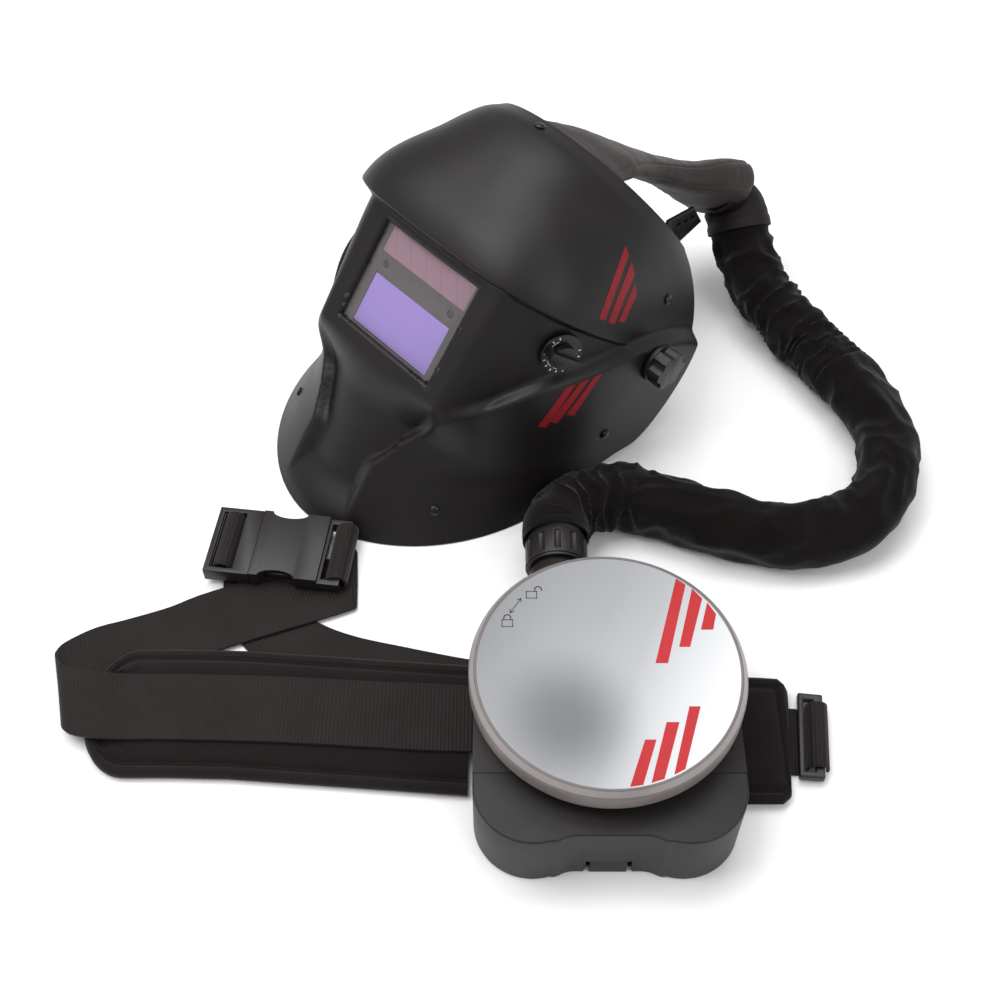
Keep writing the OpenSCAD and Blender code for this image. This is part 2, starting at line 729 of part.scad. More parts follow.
module shell_skin() {
    m = len(SHELL_V);
    n = shell_cols + 1;
    points = [for (layer = [0, -shell_wall]) for (v = SHELL_V) for (k = [0:shell_cols])
        shell_point(v, 2 * k / shell_cols - 1, layer)];
    o = m * n;
    faces = concat(
        [for (i = [0:m - 2]) for (k = [0:n - 2])
            [i * n + k, (i + 1) * n + k, (i + 1) * n + k + 1, i * n + k + 1]],
        [for (i = [0:m - 2]) for (k = [0:n - 2])
            [o + i * n + k, o + i * n + k + 1, o + (i + 1) * n + k + 1, o + (i + 1) * n + k]],
        [for (k = [0:n - 2]) [k, k + 1, o + k + 1, o + k]],
        [for (k = [0:n - 2]) let (e = (m - 1) * n) [e + k, o + e + k, o + e + k + 1, e + k + 1]],
        [for (i = [0:m - 2]) [i * n, o + i * n, o + (i + 1) * n, (i + 1) * n]],
        [for (i = [0:m - 2]) let (e = n - 1)
            [i * n + e, (i + 1) * n + e, o + (i + 1) * n + e, o + i * n + e]]
    );
    polyhedron(points = points, faces = faces, convexity = 8);
}

dial_v = 0.59;
dial_s = 0.58;
RIVETS = [[0.96, 0], [0.78, 0.9], [0.78, -0.9], [0.41, 0.87], [0.41, -0.87], [0.10, 0.467],
    [0.10, -0.467]];

module helmet_shell() {
    color("#1b1919") in_helmet() difference() {
        shell_skin();
        translate(window_at - [30, window_w / 2, window_h / 2]) cube([60, window_w, window_h]);
        rotate([90, 0, 0]) translate([0, 0, -200]) cylinder(r = bolt_r + run, h = 400);
        on_shell(dial_v, dial_s) translate([0, 0, -20]) cylinder(r = 5, h = 40);
        for (r = RIVETS) on_shell(r[0], r[1]) translate([0, 0, -10]) cylinder(r = 1.6, h = 20);
    }
}

module shell_rivets() {
    color("#121212") in_helmet() for (r = RIVETS) on_shell(r[0], r[1]) {
        translate([0, 0, -shell_wall - 2]) cylinder(r = 1.5, h = shell_wall + 3);
        translate([0, 0, 0.9]) cylinder(r = 4, h = 1.4);
        translate([0, 0, -shell_wall - 3]) cylinder(r = 3, h = 1.2);
    }
}

module window_box(x, w, h, t, lift = 0) {
    translate([x - t, -w / 2, window_at[2] - h / 2 + lift]) cube([t, w, h]);
}

module cover_lens() {
    color([0.8, 0.85, 0.95, 0.35]) in_helmet() window_box(lens_x, cartridge_w - 1, cartridge_h - 1, 1.2);
}

glass_w = 80;
glass_h = 40;
glass_drop = -18;
solar_w = 88;
solar_h = 21;
solar_lift = 28;

module filter_case() {
    color("#5b544f") in_helmet() difference() {
        window_box(case_x, cartridge_w, cartridge_h, cartridge_t);
        window_box(case_x + 1, glass_w, glass_h, cartridge_t + 10, glass_drop);
        window_box(case_x + 1, solar_w, solar_h, 2.4, solar_lift);
        for (side = [-1, 1]) translate([case_x + 1, side * 35, window_at[2] + 11])
            rotate([0, -90, 0]) cylinder(r = 3, h = 3);
    }
}

module filter_glass() {
    color([0.62, 0.58, 0.85]) in_helmet()
        window_box(case_x - 0.4, glass_w - 0.6, glass_h - 0.6, 4, glass_drop);
}

module solar_cell() {
    color("#8a6470") in_helmet() window_box(case_x - 0.3, solar_w - 0.6, solar_h - 0.6, 0.9, solar_lift);
}

module light_sensors() {
    color("#2a2626") in_helmet() for (side = [-1, 1])
        translate([case_x - 0.3, side * 35, window_at[2] + 11]) rotate([0, -90, 0])
            cylinder(r = 2.7, h = 1.5);
}

module cartridge_holder() {
    back_x = case_x - cartridge_t;
    color("#1a1919") in_helmet() {
        difference() {
            window_box(lens_x + 0.2, cartridge_w + 8, cartridge_h + 8, lens_x - back_x + 3);
            window_box(lens_x + 1, cartridge_w + 0.6, cartridge_h + 0.6, lens_x - back_x + 1.4);
            window_box(lens_x, window_w - 2, window_h - 2, 40);
        }
    }
}

module inner_lens() {
    color([0.8, 0.85, 0.95, 0.35]) in_helmet()
        window_box(case_x - cartridge_t - 3.6, window_w + 4, window_h + 2, 1);
}

module control_box() {
    color("#1c1b1b") in_helmet() on_shell(dial_v, dial_s) {
        translate([-14, -16, -19]) cube([28, 32, 12]);
        translate([0, 0, -7]) cylinder(r = 3, h = 8);
    }
}

module dial_bezel() {
    color("#0f0f0f") in_helmet() on_shell(dial_v, dial_s) translate([0, 0, 1.6])
        ring_bar(dial_r, 3 + run, 3);
}

module shade_knob() {
    color("#1a1919") in_helmet() on_shell(dial_v, dial_s) {
        translate([0, 0, 4.9]) cylinder(r = 9, h = 6);
        translate([-3, -15, 4.9]) cube([6, 24, 11]);
    }
}

// A soft panel inside the shell that closes the gap under and beside the wearer's chin
module face_seal() {
    cols = 24;
    s_max = 0.78;
    m = 5;
    n = cols + 1;
    points = [for (t = [0, 1.5]) for (i = [0:m - 1]) for (k = [0:cols])
        let (s = s_max * (2 * k / cols - 1), w = i / (m - 1),
            p = shell_point(0.08, s, -shell_wall - 1.5), g = 1 - pow(s / s_max, 2))
        [mix(p[0], 40 + 22 * g, w), mix(p[1], p[1] * 0.6, w), mix(p[2], -104, w) + t
            + 6 * sin(180 * w)]];
    o = m * n;
    faces = concat(
        [for (i = [0:m - 2]) for (k = [0:n - 2])
            [i * n + k, i * n + k + 1, (i + 1) * n + k + 1, (i + 1) * n + k]],
        [for (i = [0:m - 2]) for (k = [0:n - 2])
            [o + i * n + k, o + (i + 1) * n + k, o + (i + 1) * n + k + 1, o + i * n + k + 1]],
        [for (k = [0:n - 2]) [k, o + k, o + k + 1, k + 1]],
        [for (k = [0:n - 2]) let (e = (m - 1) * n) [e + k, e + k + 1, o + e + k + 1, o + e + k]],
        [for (i = [0:m - 2]) [i * n, (i + 1) * n, o + (i + 1) * n, o + i * n]],
        [for (i = [0:m - 2]) let (e = n - 1)
            [i * n + e, o + i * n + e, o + (i + 1) * n + e, (i + 1) * n + e]]
    );
    color("#2f2b2a") in_helmet() polyhedron(points = points, faces = faces, convexity = 6);
}

// ---------------------------------------------------------------- belt

pad_z = web_t + 0.5;

// A flat band of the given width that follows a centre line on the table
module band(path, w) {
    n = len(path);
    side = [for (i = [0:n - 1]) let (t = tangent(path, i)) [-t[1], t[0]] * w / 2];
    polygon(concat([for (i = [0:n - 1]) path[i] + side[i]],
        [for (i = [n - 1:-1:0]) path[i] - side[i]]));
}

PAD_LEFT = [[-90, 0], [-130, 3], [-170, 6], [-210, 9], [-250, 12], [-290, 13], [-320, 13]];

module belt_pad_left() {
    n = len(PAD_LEFT);
    end = PAD_LEFT[n - 1];
    side = [for (i = [0:n - 2]) let (t = tangent(PAD_LEFT, i)) [-t[1], t[0]] * pad_w / 2];
    color("#221e1d") translate([0, 0, pad_z]) linear_extrude(pad_t) polygon(concat(
        [for (i = [0:n - 2]) PAD_LEFT[i] + side[i]],
        [for (q = [264:-12:96]) end + [33 * cos(q), pad_w / 2 * sin(q)]],
        [for (i = [n - 2:-1:0]) PAD_LEFT[i] - side[i]]
    ));
}

module belt_pad_right() {
    color("#221e1d") translate([0, 0, pad_z]) linear_extrude(pad_t)
        polygon([[90, -56], [119, -56], [124, -50], [130, 28], [127, 38], [90, 40]]);
}

// The strap on the left pad turns back at its end, crosses the other strap and turns
// once more into the buckle's socket
WEB_LEFT = [[-92, 4], [-150, 7], [-220, 11], [-290, 13], [-340, 13], [-374, 14]];
FRONT_RUN = [[-372, 40], [-346, 57], [-300, 76]];
FRONT_OVER = [[-276, 86], [-230, 103], [-184, 119]];
web_top = pad_z + pad_t + gap;
over_z = web_t + 2 * gap;
strap_turn = 21;

// A short flat piece of strap end, placed for hulls
module strap_end(at, z, turn, w = web_w) {
    translate([at[0], at[1], z]) rotate([0, 0, turn]) translate([-1, -w / 2, 0])
        cube([2, w, web_t]);
}

module belt_webbing_left() {
    color("#1b1717") {
        translate([0, 0, web_top]) linear_extrude(web_t) band(WEB_LEFT, web_w);
        hull() {
            strap_end([-376, 20], web_top, 6, 54);
            strap_end([-376, 30], 0.1, 12, 54);
        }
        translate([0, 0, 0.1]) linear_extrude(web_t) band(FRONT_RUN, web_w);
        hull() {
            strap_end([-301, 75.6], 0.1, strap_turn);
            strap_end([-275, 86.4], over_z, strap_turn);
        }
        translate([0, 0, over_z]) linear_extrude(web_t) band(FRONT_OVER, web_w);
        hull() {
            strap_end([-184, 119], over_z, strap_turn);
            strap_end([-182, 122], 0.1, 14);
        }
        translate([0, 0, 0.1]) linear_extrude(web_t)
            polygon([[-188, 99], [-176, 146], [-187, 163], [-191, 121]]);
    }
    color("#1b1717") on_buckle() translate([0, -24, 0]) {
        low = 0.1 - buckle_at[2];
        fold_z = buckle_t - 3.6 + gap;
        for (x = [-52.4, -41.4 - web_t]) translate([x, 0, low])
            cube([web_t, 48, fold_z + web_t - low]);
        translate([-52.4, 0, fold_z]) cube([11, 48, web_t]);
    }
}

WEB_RIGHT = [[134, -8], [110, -6], [80, 0], [50, 8], [20, 14], [-20, 20], [-60, 26], [-100, 33],
    [-140, 42], [-180, 52], [-212, 66], [-234, 86], [-245, 110], [-248, 135], [-249, 160]];

module belt_webbing_right() {
    color("#1b1717") translate([0, 0, 0.1]) linear_extrude(web_t) band(WEB_RIGHT, web_w);
    color("#1b1717") on_buckle() translate([0, -24, 0]) {
        low = 0.1 - buckle_at[2];
        fold_z = buckle_t - 1 + gap;
        free_z = low + web_t + gap;
        translate([30.9, 0, low + 0.5]) cube([web_t, 48, fold_z + 0.5 - low]);
        translate([30.7, 0, fold_z]) cube([13.6, 48, web_t]);
        translate([44.1 - web_t, 0, free_z]) cube([web_t, 48, fold_z + 1 - free_z]);
    }
}

slider_at = [138, -6];

module belt_slider() {
    color("#161414") translate([slider_at[0], slider_at[1], pad_z + 0.2]) rotate([0, 0, -6])
        difference() {
            translate([-5, -32, 0]) cube([17, 64, 6]);
            translate([-1, -27, -1]) cube([7, 54, 8]);
        }
}

buckle_at = [-232, 145, over_z + web_t + gap];

module on_buckle() {
    translate(buckle_at) rotate([0, 0, 173]) children();
}

module buckle_socket() {
    color("#1d1b1b") on_buckle() difference() {
        union() {
            translate([-34, -29, 0]) cube([50, 58, buckle_t]);
            translate([-50, -29, 3]) cube([18, 58, buckle_t - 6.6]);
        }
        translate([-26, -25, 2.5]) cube([60, 50, buckle_t - 5]);
        translate([-44, -25, -1]) cube([8, 50, 30]);
        for (side = [-1, 1]) translate([-4, side * 29, -1]) scale([1.5, 0.6, 1])
            cylinder(r = 9, h = 30);
    }
}

module buckle_plug() {
    color("#1d1b1b") on_buckle() difference() {
        union() {
            translate([16 + gap, -29, 1]) cube([34 - gap, 58, buckle_t - 2]);
            translate([-18, -5, 4]) cube([40, 10, buckle_t - 8]);
        }
        translate([30, -25, -1]) cube([5, 50, 30]);
        translate([40, -25, -1]) cube([5, 50, 30]);
        translate([29, -25, buckle_t - 3]) cube([17, 50, 10]);
        for (side = [-1, 1]) translate([10, side * 17 - 4, 2]) cube([12, 8, buckle_t - 4]);
    }
}

module buckle_arm(side) {
    color("#1d1b1b") on_buckle() {
        translate([-17, min(side * 14, side * 18), 4.5]) cube([34, 4, buckle_t - 9]);
        translate([17, side * 16, 4.5]) cylinder(r = 2, h = buckle_t - 9);
        translate([-15, min(side * 16, side * 24), 4.5]) cube([20, 8, buckle_t - 9]);
    }
}

module buckle_arm_left() {
    buckle_arm(1);
}

module buckle_arm_right() {
    buckle_arm(-1);
}

rear_housing();
front_housing();
filter_cover();
cover_label();
spark_arrestor();
particle_filter();
filter_gasket();
fan_impeller();
motor_shaft();
fan_scroll();
motor();
circuit_board();
power_button();
battery_case();
battery_cells();
battery_contacts();
battery_latch();
housing_screws();
outlet_spigot();
outlet_seal();
hose_collar();
hose_cuff();
breathing_hose();
hose_sleeve();
duct_elbow();
head_duct();
duct_strap();
headband();
crown_band();
sweatband();
ratchet_housing();
ratchet_knob();
side_bracket_left();
side_bracket_right();
pivot_bolts();
pivot_knob_left();
pivot_knob_right();
helmet_shell();
shell_rivets();
cover_lens();
filter_case();
filter_glass();
solar_cell();
light_sensors();
cartridge_holder();
inner_lens();
control_box();
dial_bezel();
shade_knob();
face_seal();
belt_pad_left();
belt_pad_right();
belt_webbing_left();
belt_webbing_right();
belt_slider();
buckle_socket();
buckle_plug();
buckle_arm_left();
buckle_arm_right();
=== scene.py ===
import json
import logging
import math
from dataclasses import dataclass, field
from enum import Enum
from typing import Callable, Iterable, Optional, Sequence

import bmesh
import bpy
import numpy as np
from mathutils import Matrix, Vector, noise

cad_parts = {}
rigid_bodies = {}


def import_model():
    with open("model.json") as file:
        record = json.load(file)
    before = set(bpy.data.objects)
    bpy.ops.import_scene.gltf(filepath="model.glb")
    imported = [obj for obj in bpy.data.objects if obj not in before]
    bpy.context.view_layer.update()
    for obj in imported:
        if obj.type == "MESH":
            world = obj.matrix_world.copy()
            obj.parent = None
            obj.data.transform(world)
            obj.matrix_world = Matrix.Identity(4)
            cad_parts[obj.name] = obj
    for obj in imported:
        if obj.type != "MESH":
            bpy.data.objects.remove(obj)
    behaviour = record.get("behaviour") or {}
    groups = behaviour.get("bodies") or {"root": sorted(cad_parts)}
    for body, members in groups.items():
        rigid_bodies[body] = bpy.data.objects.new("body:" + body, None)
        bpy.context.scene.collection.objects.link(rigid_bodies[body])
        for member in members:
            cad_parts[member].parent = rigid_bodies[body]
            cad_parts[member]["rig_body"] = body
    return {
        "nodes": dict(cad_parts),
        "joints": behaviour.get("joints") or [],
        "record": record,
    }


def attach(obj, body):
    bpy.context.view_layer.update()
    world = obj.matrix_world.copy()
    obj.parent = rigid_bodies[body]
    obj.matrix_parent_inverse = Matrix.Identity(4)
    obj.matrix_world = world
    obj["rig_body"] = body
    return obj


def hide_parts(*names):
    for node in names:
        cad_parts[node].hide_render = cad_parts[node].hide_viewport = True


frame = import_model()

LOG = logging.getLogger("respirator")
MM = 0.001
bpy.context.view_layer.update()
Point = Sequence[float]
Predicate = Callable[[Vector, Vector], bool]


# ------------------------------------------------------------------ finishes


class Grain(Enum):
    """How a surface was made, which sets its relief."""

    SMOOTH = "polished or printed"
    MOULDED = "moulded in a spark-eroded tool"
    TWILL = "twill cloth"
    WEBBING = "ribbed webbing"
    WOVEN = "plain woven cloth"
    BRUSHED = "brushed metal"
    TERRY = "looped towelling"
    CORRUGATED = "corrugated"


# Materials made so far, by the finish's name.
MADE: dict[str, bpy.types.Material] = {}


@dataclass(frozen=True)
class Finish:
    """One finish of the respirator.

    Args:
        name: Name of the material.
        colour: Main colour as sRGB hex.
        second: Colour that drifts in over tens of millimetres.
        roughness: Mean roughness.
        grain: How the surface was made.
        grain_mm: Size of one grain, thread or rib.
        depth_mm: Height of the relief.
        metallic: 1 for bare metal.
        sheen: Weight of the cloth's sheen.
        coat: Weight of a clear coat.
        gloss: Specular level, 0.5 for bare plastic.
        alpha: Opacity.
        on_cloth: True where the pattern follows the piece's own UV map.
    """

    name: str
    colour: str
    second: str
    roughness: float
    grain: Grain = Grain.MOULDED
    grain_mm: float = 0.8
    depth_mm: float = 0.06
    metallic: float = 0.0
    sheen: float = 0.0
    coat: float = 0.0
    gloss: float = 0.5
    alpha: float = 1.0
    on_cloth: bool = False

    def material(self) -> bpy.types.Material:
        """Returns the material, made once."""
        if self.name not in MADE:
            MADE[self.name] = build_material(self)
        return MADE[self.name]


def linear(hex_colour: str) -> tuple[float, float, float, float]:
    """Turns an sRGB hex value into linear colour.

    Args:
        hex_colour: Six hex digits.

    Returns:
        Red, green, blue and alpha.
    """
    parts = [int(hex_colour[i : i + 2], 16) / 255 for i in (0, 2, 4)]
    rgb = [p / 12.92 if p <= 0.04045 else ((p + 0.055) / 1.055) ** 2.4 for p in parts]
    return (rgb[0], rgb[1], rgb[2], 1.0)


def add_node(
    tree: bpy.types.NodeTree,
    kind: str,
    values: Optional[dict] = None,
    links: Optional[dict] = None,
    **settings: object,
) -> bpy.types.Node:
    """Adds one node with its settings and links.

    Args:
        tree: The material's node tree.
        kind: The node's type.
        values: Input name or index to its value.
        links: Input name or index to the output that feeds it.
        **settings: The node's own properties.

    Returns:
        The new node.
    """
    made = tree.nodes.new(kind)
    for key, value in settings.items():
        setattr(made, key, value)
    for key, value in (values or {}).items():
        made.inputs[key].default_value = value
    for key, source in (links or {}).items():
        tree.links.new(source, made.inputs[key])
    return made


def wave_scale(period_mm: float) -> float:
    """Returns the Wave texture's scale for bands of that period."""
    return math.pi / 10 / (period_mm * MM)


def relief(tree: bpy.types.NodeTree, finish: Finish, place: bpy.types.NodeSocket):
    """Builds the height pattern of a finish.

    Args:
        tree: The material's node tree.
        finish: The finish.
        place: Coordinates in metres.

    Returns:
        The output that holds the height.
    """
    g = finish.grain_mm
    fine = add_node(
        tree, "ShaderNodeTexNoise", {"Scale": 1 / (g * MM), "Detail": 3.0}, {"Vector": place}
    )
    if finish.grain in (Grain.MOULDED, Grain.SMOOTH, Grain.TERRY):
        return fine.outputs["Fac"]
    if finish.grain is Grain.BRUSHED:
        drawn = add_node(
            tree, "ShaderNodeMapping", {"Scale": (0.04, 1.0, 1.0)}, {"Vector": place}
        )
        return add_node(
            tree,
            "ShaderNodeTexNoise",
            {"Scale": 1 / (g * MM), "Detail": 4.0},
            {"Vector": drawn.outputs[0]},
        ).outputs["Fac"]
    direction = "DIAGONAL" if finish.grain is Grain.TWILL else "X"
    first = add_node(
        tree,
        "ShaderNodeTexWave",
        {"Scale": wave_scale(g * (1.7 if direction == "DIAGONAL" else 1.0)), "Distortion": 0.6,
         "Detail": 1.0, "Detail Scale": 2.0},
        {"Vector": place},
        wave_type="BANDS",
        bands_direction=direction,
    )
    second = add_node(
        tree,
        "ShaderNodeTexWave",
        {"Scale": wave_scale(g * (0.7 if finish.grain is Grain.WEBBING else 1.0)), "Distortion": 0.8,
         "Detail": 1.0},
        {"Vector": place},
        wave_type="BANDS",
        bands_direction="Y",
    )
    share = 0.3 if finish.grain is Grain.WEBBING else 0.5
    threads = add_node(
        tree,
        "ShaderNodeMix",
        {0: share},
        {2: first.outputs["Fac"], 3: second.outputs["Fac"]},
        data_type="FLOAT",
    )
    return add_node(
        tree,
        "ShaderNodeMix",
        {0: 0.25},
        {2: threads.outputs[0], 3: fine.outputs["Fac"]},
        data_type="FLOAT",
    ).outputs[0]


def build_material(finish: Finish) -> bpy.types.Material:
    """Builds a finish's material.

    Args:
        finish: The finish.

    Returns:
        The new material.
    """
    material = bpy.data.materials.new(finish.name)
    material.use_nodes = True
    tree = material.node_tree
    shader = tree.nodes["Principled BSDF"]
    where = add_node(tree, "ShaderNodeTexCoord")
    place = where.outputs["UV" if finish.on_cloth else "Object"]
    height = relief(tree, finish, place)
    broad = add_node(
        tree,
        "ShaderNodeTexNoise",
        {"Scale": 1 / 0.055, "Detail": 4.0, "Roughness": 0.6},
        {"Vector": where.outputs["Object"]},
    )
    drift = add_node(
        tree,
        "ShaderNodeMapRange",
        {"From Min": 0.35, "From Max": 0.68},
        {"Value": broad.outputs["Fac"]},
    )
    tint = add_node(
        tree,
        "ShaderNodeMix",
        {6: linear(finish.colour), 7: linear(finish.second)},
        {0: drift.outputs[0]},
        data_type="RGBA",
    )
    colour = tint.outputs[2]
    if finish.grain in (Grain.WEBBING, Grain.TWILL, Grain.WOVEN, Grain.TERRY):
        # Painted shade in the furrows between threads and painted highlight on their crests: the colour is scaled
        # by the relief's height.
        painted_furrow_shade_and_crest_highlight = add_node(
            tree,
            "ShaderNodeMapRange",
            {"From Min": 0.1, "From Max": 0.9, "To Min": 0.45, "To Max": 1.35},
            {"Value": height},
        )
        colour = add_node(
            tree,
            "ShaderNodeVectorMath",
            None,
            {0: colour, "Scale": painted_furrow_shade_and_crest_highlight.outputs[0]},
            operation="SCALE",
        ).outputs[0]
    tree.links.new(colour, shader.inputs["Base Color"])
    rub = add_node(
        tree,
        "ShaderNodeMapRange",
        {"To Min": finish.roughness - 0.06, "To Max": finish.roughness + 0.06},
        {"Value": broad.outputs["Fac"]},
    )
    tree.links.new(rub.outputs[0], shader.inputs["Roughness"])
    bump = add_node(
        tree,
        "ShaderNodeBump",
        {"Strength": 1.0, "Distance": finish.depth_mm * MM},
        {"Height": height},
    )
    tree.links.new(bump.outputs[0], shader.inputs["Normal"])
    shader.inputs["Metallic"].default_value = finish.metallic
    shader.inputs["Sheen Weight"].default_value = finish.sheen
    shader.inputs["Sheen Roughness"].default_value = 0.45
    shader.inputs["Coat Weight"].default_value = finish.coat
    shader.inputs["Coat Roughness"].default_value = 0.12
    shader.inputs["Specular IOR Level"].default_value = finish.gloss
    shader.inputs["Alpha"].default_value = finish.alpha
    return material


# Nylon-filled shell plastic: near black with a warm cast, and a soft satin sheen.
SHELL = Finish("shell_nylon", "140f0e", "100c0c", 0.46, grain_mm=0.9, depth_mm=0.04, gloss=0.36)
# The same nylon inside the shell, left dull by the tool.
SHELL_INSIDE = Finish("shell_nylon_inside", "121010", "0f0d0d", 0.6, grain_mm=0.9, gloss=0.3)
# Spark-eroded ABS: brown-black and dull, with a fine tooth that breaks up highlights.
HOUSING = Finish("housing_abs", "211b19", "1a1514", 0.55, grain_mm=0.8, depth_mm=0.06, gloss=0.35)
BATTERY = Finish("battery_abs", "1c1817", "161312", 0.52, grain_mm=0.8, depth_mm=0.06, gloss=0.4)
# Painted ABS rim: warm grey and even.
COVER = Finish("cover_abs_grey", "776f6d", "6c6462", 0.45, grain_mm=0.7, depth_mm=0.04, gloss=0.4)
# Painted highlight: a lighter grey for the light along the rim's bevel.
COVER_RIM_HIGHLIGHT = Finish("cover_rim_painted_highlight", "9a9494", "8b8585", 0.36, Grain.SMOOTH, 0.6, 0.01)
# Glass-filled nylon knobs: deep black with a tighter highlight than the shell.
KNOB = Finish("knob_nylon", "100e0e", "130f0f", 0.42, grain_mm=0.6, depth_mm=0.04, gloss=0.4)
DIAL = Finish("dial_nylon", "0a0909", "0d0c0c", 0.34, grain_mm=0.5, depth_mm=0.03, gloss=0.45)
# Acetal buckle: slick charcoal with a faint grain.
BUCKLE = Finish("buckle_acetal", "1e1a1a", "191515", 0.4, grain_mm=0.9, depth_mm=0.05, gloss=0.45)
HEADGEAR = Finish("headgear_polypropylene", "131111", "0f0e0e", 0.45, grain_mm=0.8, gloss=0.4)
SPIGOT = Finish("spigot_abs", "1e1917", "181413", 0.5, grain_mm=0.8, gloss=0.35)
COLLAR = Finish("collar_abs", "1f1b1a", "191615", 0.42, grain_mm=0.7, depth_mm=0.05, gloss=0.4)
# Black cotton twill: no shine, a fine diagonal line, a pale bloom along the folds.
SLEEVE = Finish("sleeve_cotton_twill", "120e0d", "0d0a0a", 0.92, Grain.TWILL, 1.3, 0.2,
                sheen=0.12, gloss=0.1, on_cloth=True)
# Coated cloth of the head duct: dark brown with a soft leathery sheen.
DUCT = Finish("duct_coated_cloth", "2d2523", "241d1b", 0.62, Grain.MOULDED, 1.1, 0.1, sheen=0.12,
              gloss=0.3)
PIPING = Finish("duct_piping", "1c1615", "15100f", 0.66, Grain.MOULDED, 0.9, 0.08, gloss=0.25)
# Pad cover: matte nylon cloth over foam.
PAD = Finish("pad_nylon", "191414", "130f0f", 0.85, Grain.WOVEN, 1.4, 0.16, sheen=0.15, gloss=0.15,
             on_cloth=True)
BINDING = Finish("pad_binding", "1f1818", "191313", 0.8, Grain.WEBBING, 1.5, 0.16, sheen=0.15,
                 gloss=0.15, on_cloth=True)
# Nylon webbing: ribs across the strap catch the light as fine grey lines.
WEBBING = Finish("webbing_nylon", "1d1615", "16100f", 0.7, Grain.WEBBING, 2.6, 0.5, sheen=0.12,
                 gloss=0.25, on_cloth=True)
THREAD = Finish("sewing_thread", "2b2322", "221b1a", 0.7, Grain.TWILL, 0.6, 0.05, gloss=0.2)
# Taupe case of the filter: smooth satin plastic.
CASE = Finish("filter_case_taupe", "4e4744", "453f3c", 0.45, Grain.SMOOTH, 0.8, 0.01, gloss=0.3)
SENSOR = Finish("sensor_window", "3a3331", "2c2625", 0.3, Grain.SMOOTH, 0.6, 0.01, gloss=0.4)
# Screen-printed inks: flat, slightly glossier than the plastic under them.
RED = Finish("print_red", "8a0f18", "7e0c15", 0.5, Grain.SMOOTH, 0.6, 0.01, gloss=0.3)
LABEL_RED = Finish("label_print_red", "b5161d", "a81219", 0.45, Grain.SMOOTH, 0.6, 0.01, gloss=0.3)
WHITE = Finish("print_white", "dededc", "d2d2d0", 0.5, Grain.SMOOTH, 0.6, 0.01, gloss=0.3)
DARK_PRINT = Finish("print_grey", "4c4c4e", "434345", 0.5, Grain.SMOOTH, 0.6, 0.01, gloss=0.3)
# Turned, drawn and plated metals of the hidden works.
STEEL = Finish("turned_steel", "9a9a9e", "8a8a8e", 0.32, Grain.BRUSHED, 0.5, 0.02, metallic=1.0)
BRASS = Finish("plated_brass", "c9a24a", "b8913c", 0.3, Grain.BRUSHED, 0.5, 0.02, metallic=1.0)
MESH_STEEL = Finish("arrestor_mesh", "8d8f92", "7c7e81", 0.4, Grain.WOVEN, 1.2, 0.3, metallic=1.0)
# Pleated filter paper: chalky and fibrous.
PAPER = Finish("filter_paper", "e6e2d6", "dad5c6", 0.85, Grain.WOVEN, 1.0, 0.05)
RUBBER = Finish("seal_rubber", "1c1c1d", "161617", 0.6, gloss=0.3)
ORANGE = Finish("seal_silicone", "b4552d", "a64b26", 0.5)
PALE = Finish("fan_polyamide", "d4d4cf", "c6c6c0", 0.45, grain_mm=0.8)
BOARD = Finish("solder_resist", "1c5a35", "174c2c", 0.3, Grain.SMOOTH, 0.5, 0.02)
CELL = Finish("cell_sleeve", "3462a8", "2c5698", 0.3, Grain.SMOOTH, 0.5, 0.01)
CLOTH_SEAL = Finish("face_seal_cloth", "221e1d", "1a1716", 0.85, Grain.WOVEN, 1.2, 0.15,
                    sheen=0.15, gloss=0.15, on_cloth=True)
# Towelling: loops that swallow light.
TERRY = Finish("sweatband_terry", "3a3431", "2f2a28", 0.9, Grain.TERRY, 1.2, 0.5, sheen=0.3, gloss=0.1)
GREY_HOSE = Finish("breathing_hose_rubber", "3a3b3e", "303134", 0.55, gloss=0.35)
# Clear polycarbonate: almost only its faint reflection shows.
CLEAR = Finish("cover_plate_polycarbonate", "f4f6ff", "f0f2fb", 0.08, Grain.SMOOTH, 0.6, 0.0,
               alpha=0.03)


def glass_material() -> bpy.types.Material:
    """The viewing area: coated glass that runs from violet to lavender blue."""
    material = bpy.data.materials.get("filter_glass_coated")
    if material:
        return material
    material = bpy.data.materials.new("filter_glass_coated")
    material.use_nodes = True
    tree = material.node_tree
    shader = tree.nodes["Principled BSDF"]
    where = add_node(tree, "ShaderNodeTexCoord")
    across = add_node(
        tree,
        "ShaderNodeVectorMath",
        {1: (12.0, -9.0, -3.0)},
        {0: where.outputs["Object"]},
        operation="DOT_PRODUCT",
    )
    spread = add_node(
        tree, "ShaderNodeMapRange", {"From Min": -3.95, "From Max": -2.75},
        {"Value": across.outputs["Value"]},
    )
    tint = add_node(
        tree,
        "ShaderNodeMix",
        {6: linear("8f79bb"), 7: linear("8089c4")},
        {0: spread.outputs[0]},
        data_type="RGBA",
    )
    tree.links.new(tint.outputs[2], shader.inputs["Base Color"])
    haze = add_node(
        tree, "ShaderNodeTexNoise", {"Scale": 300.0, "Detail": 2.0},
        {"Vector": where.outputs["Object"]},
    )
    rough = add_node(
        tree, "ShaderNodeMapRange", {"To Min": 0.1, "To Max": 0.16},
        {"Value": haze.outputs["Fac"]},
    )
    tree.links.new(rough.outputs[0], shader.inputs["Roughness"])
    shader.inputs["Specular IOR Level"].default_value = 0.25
    return material


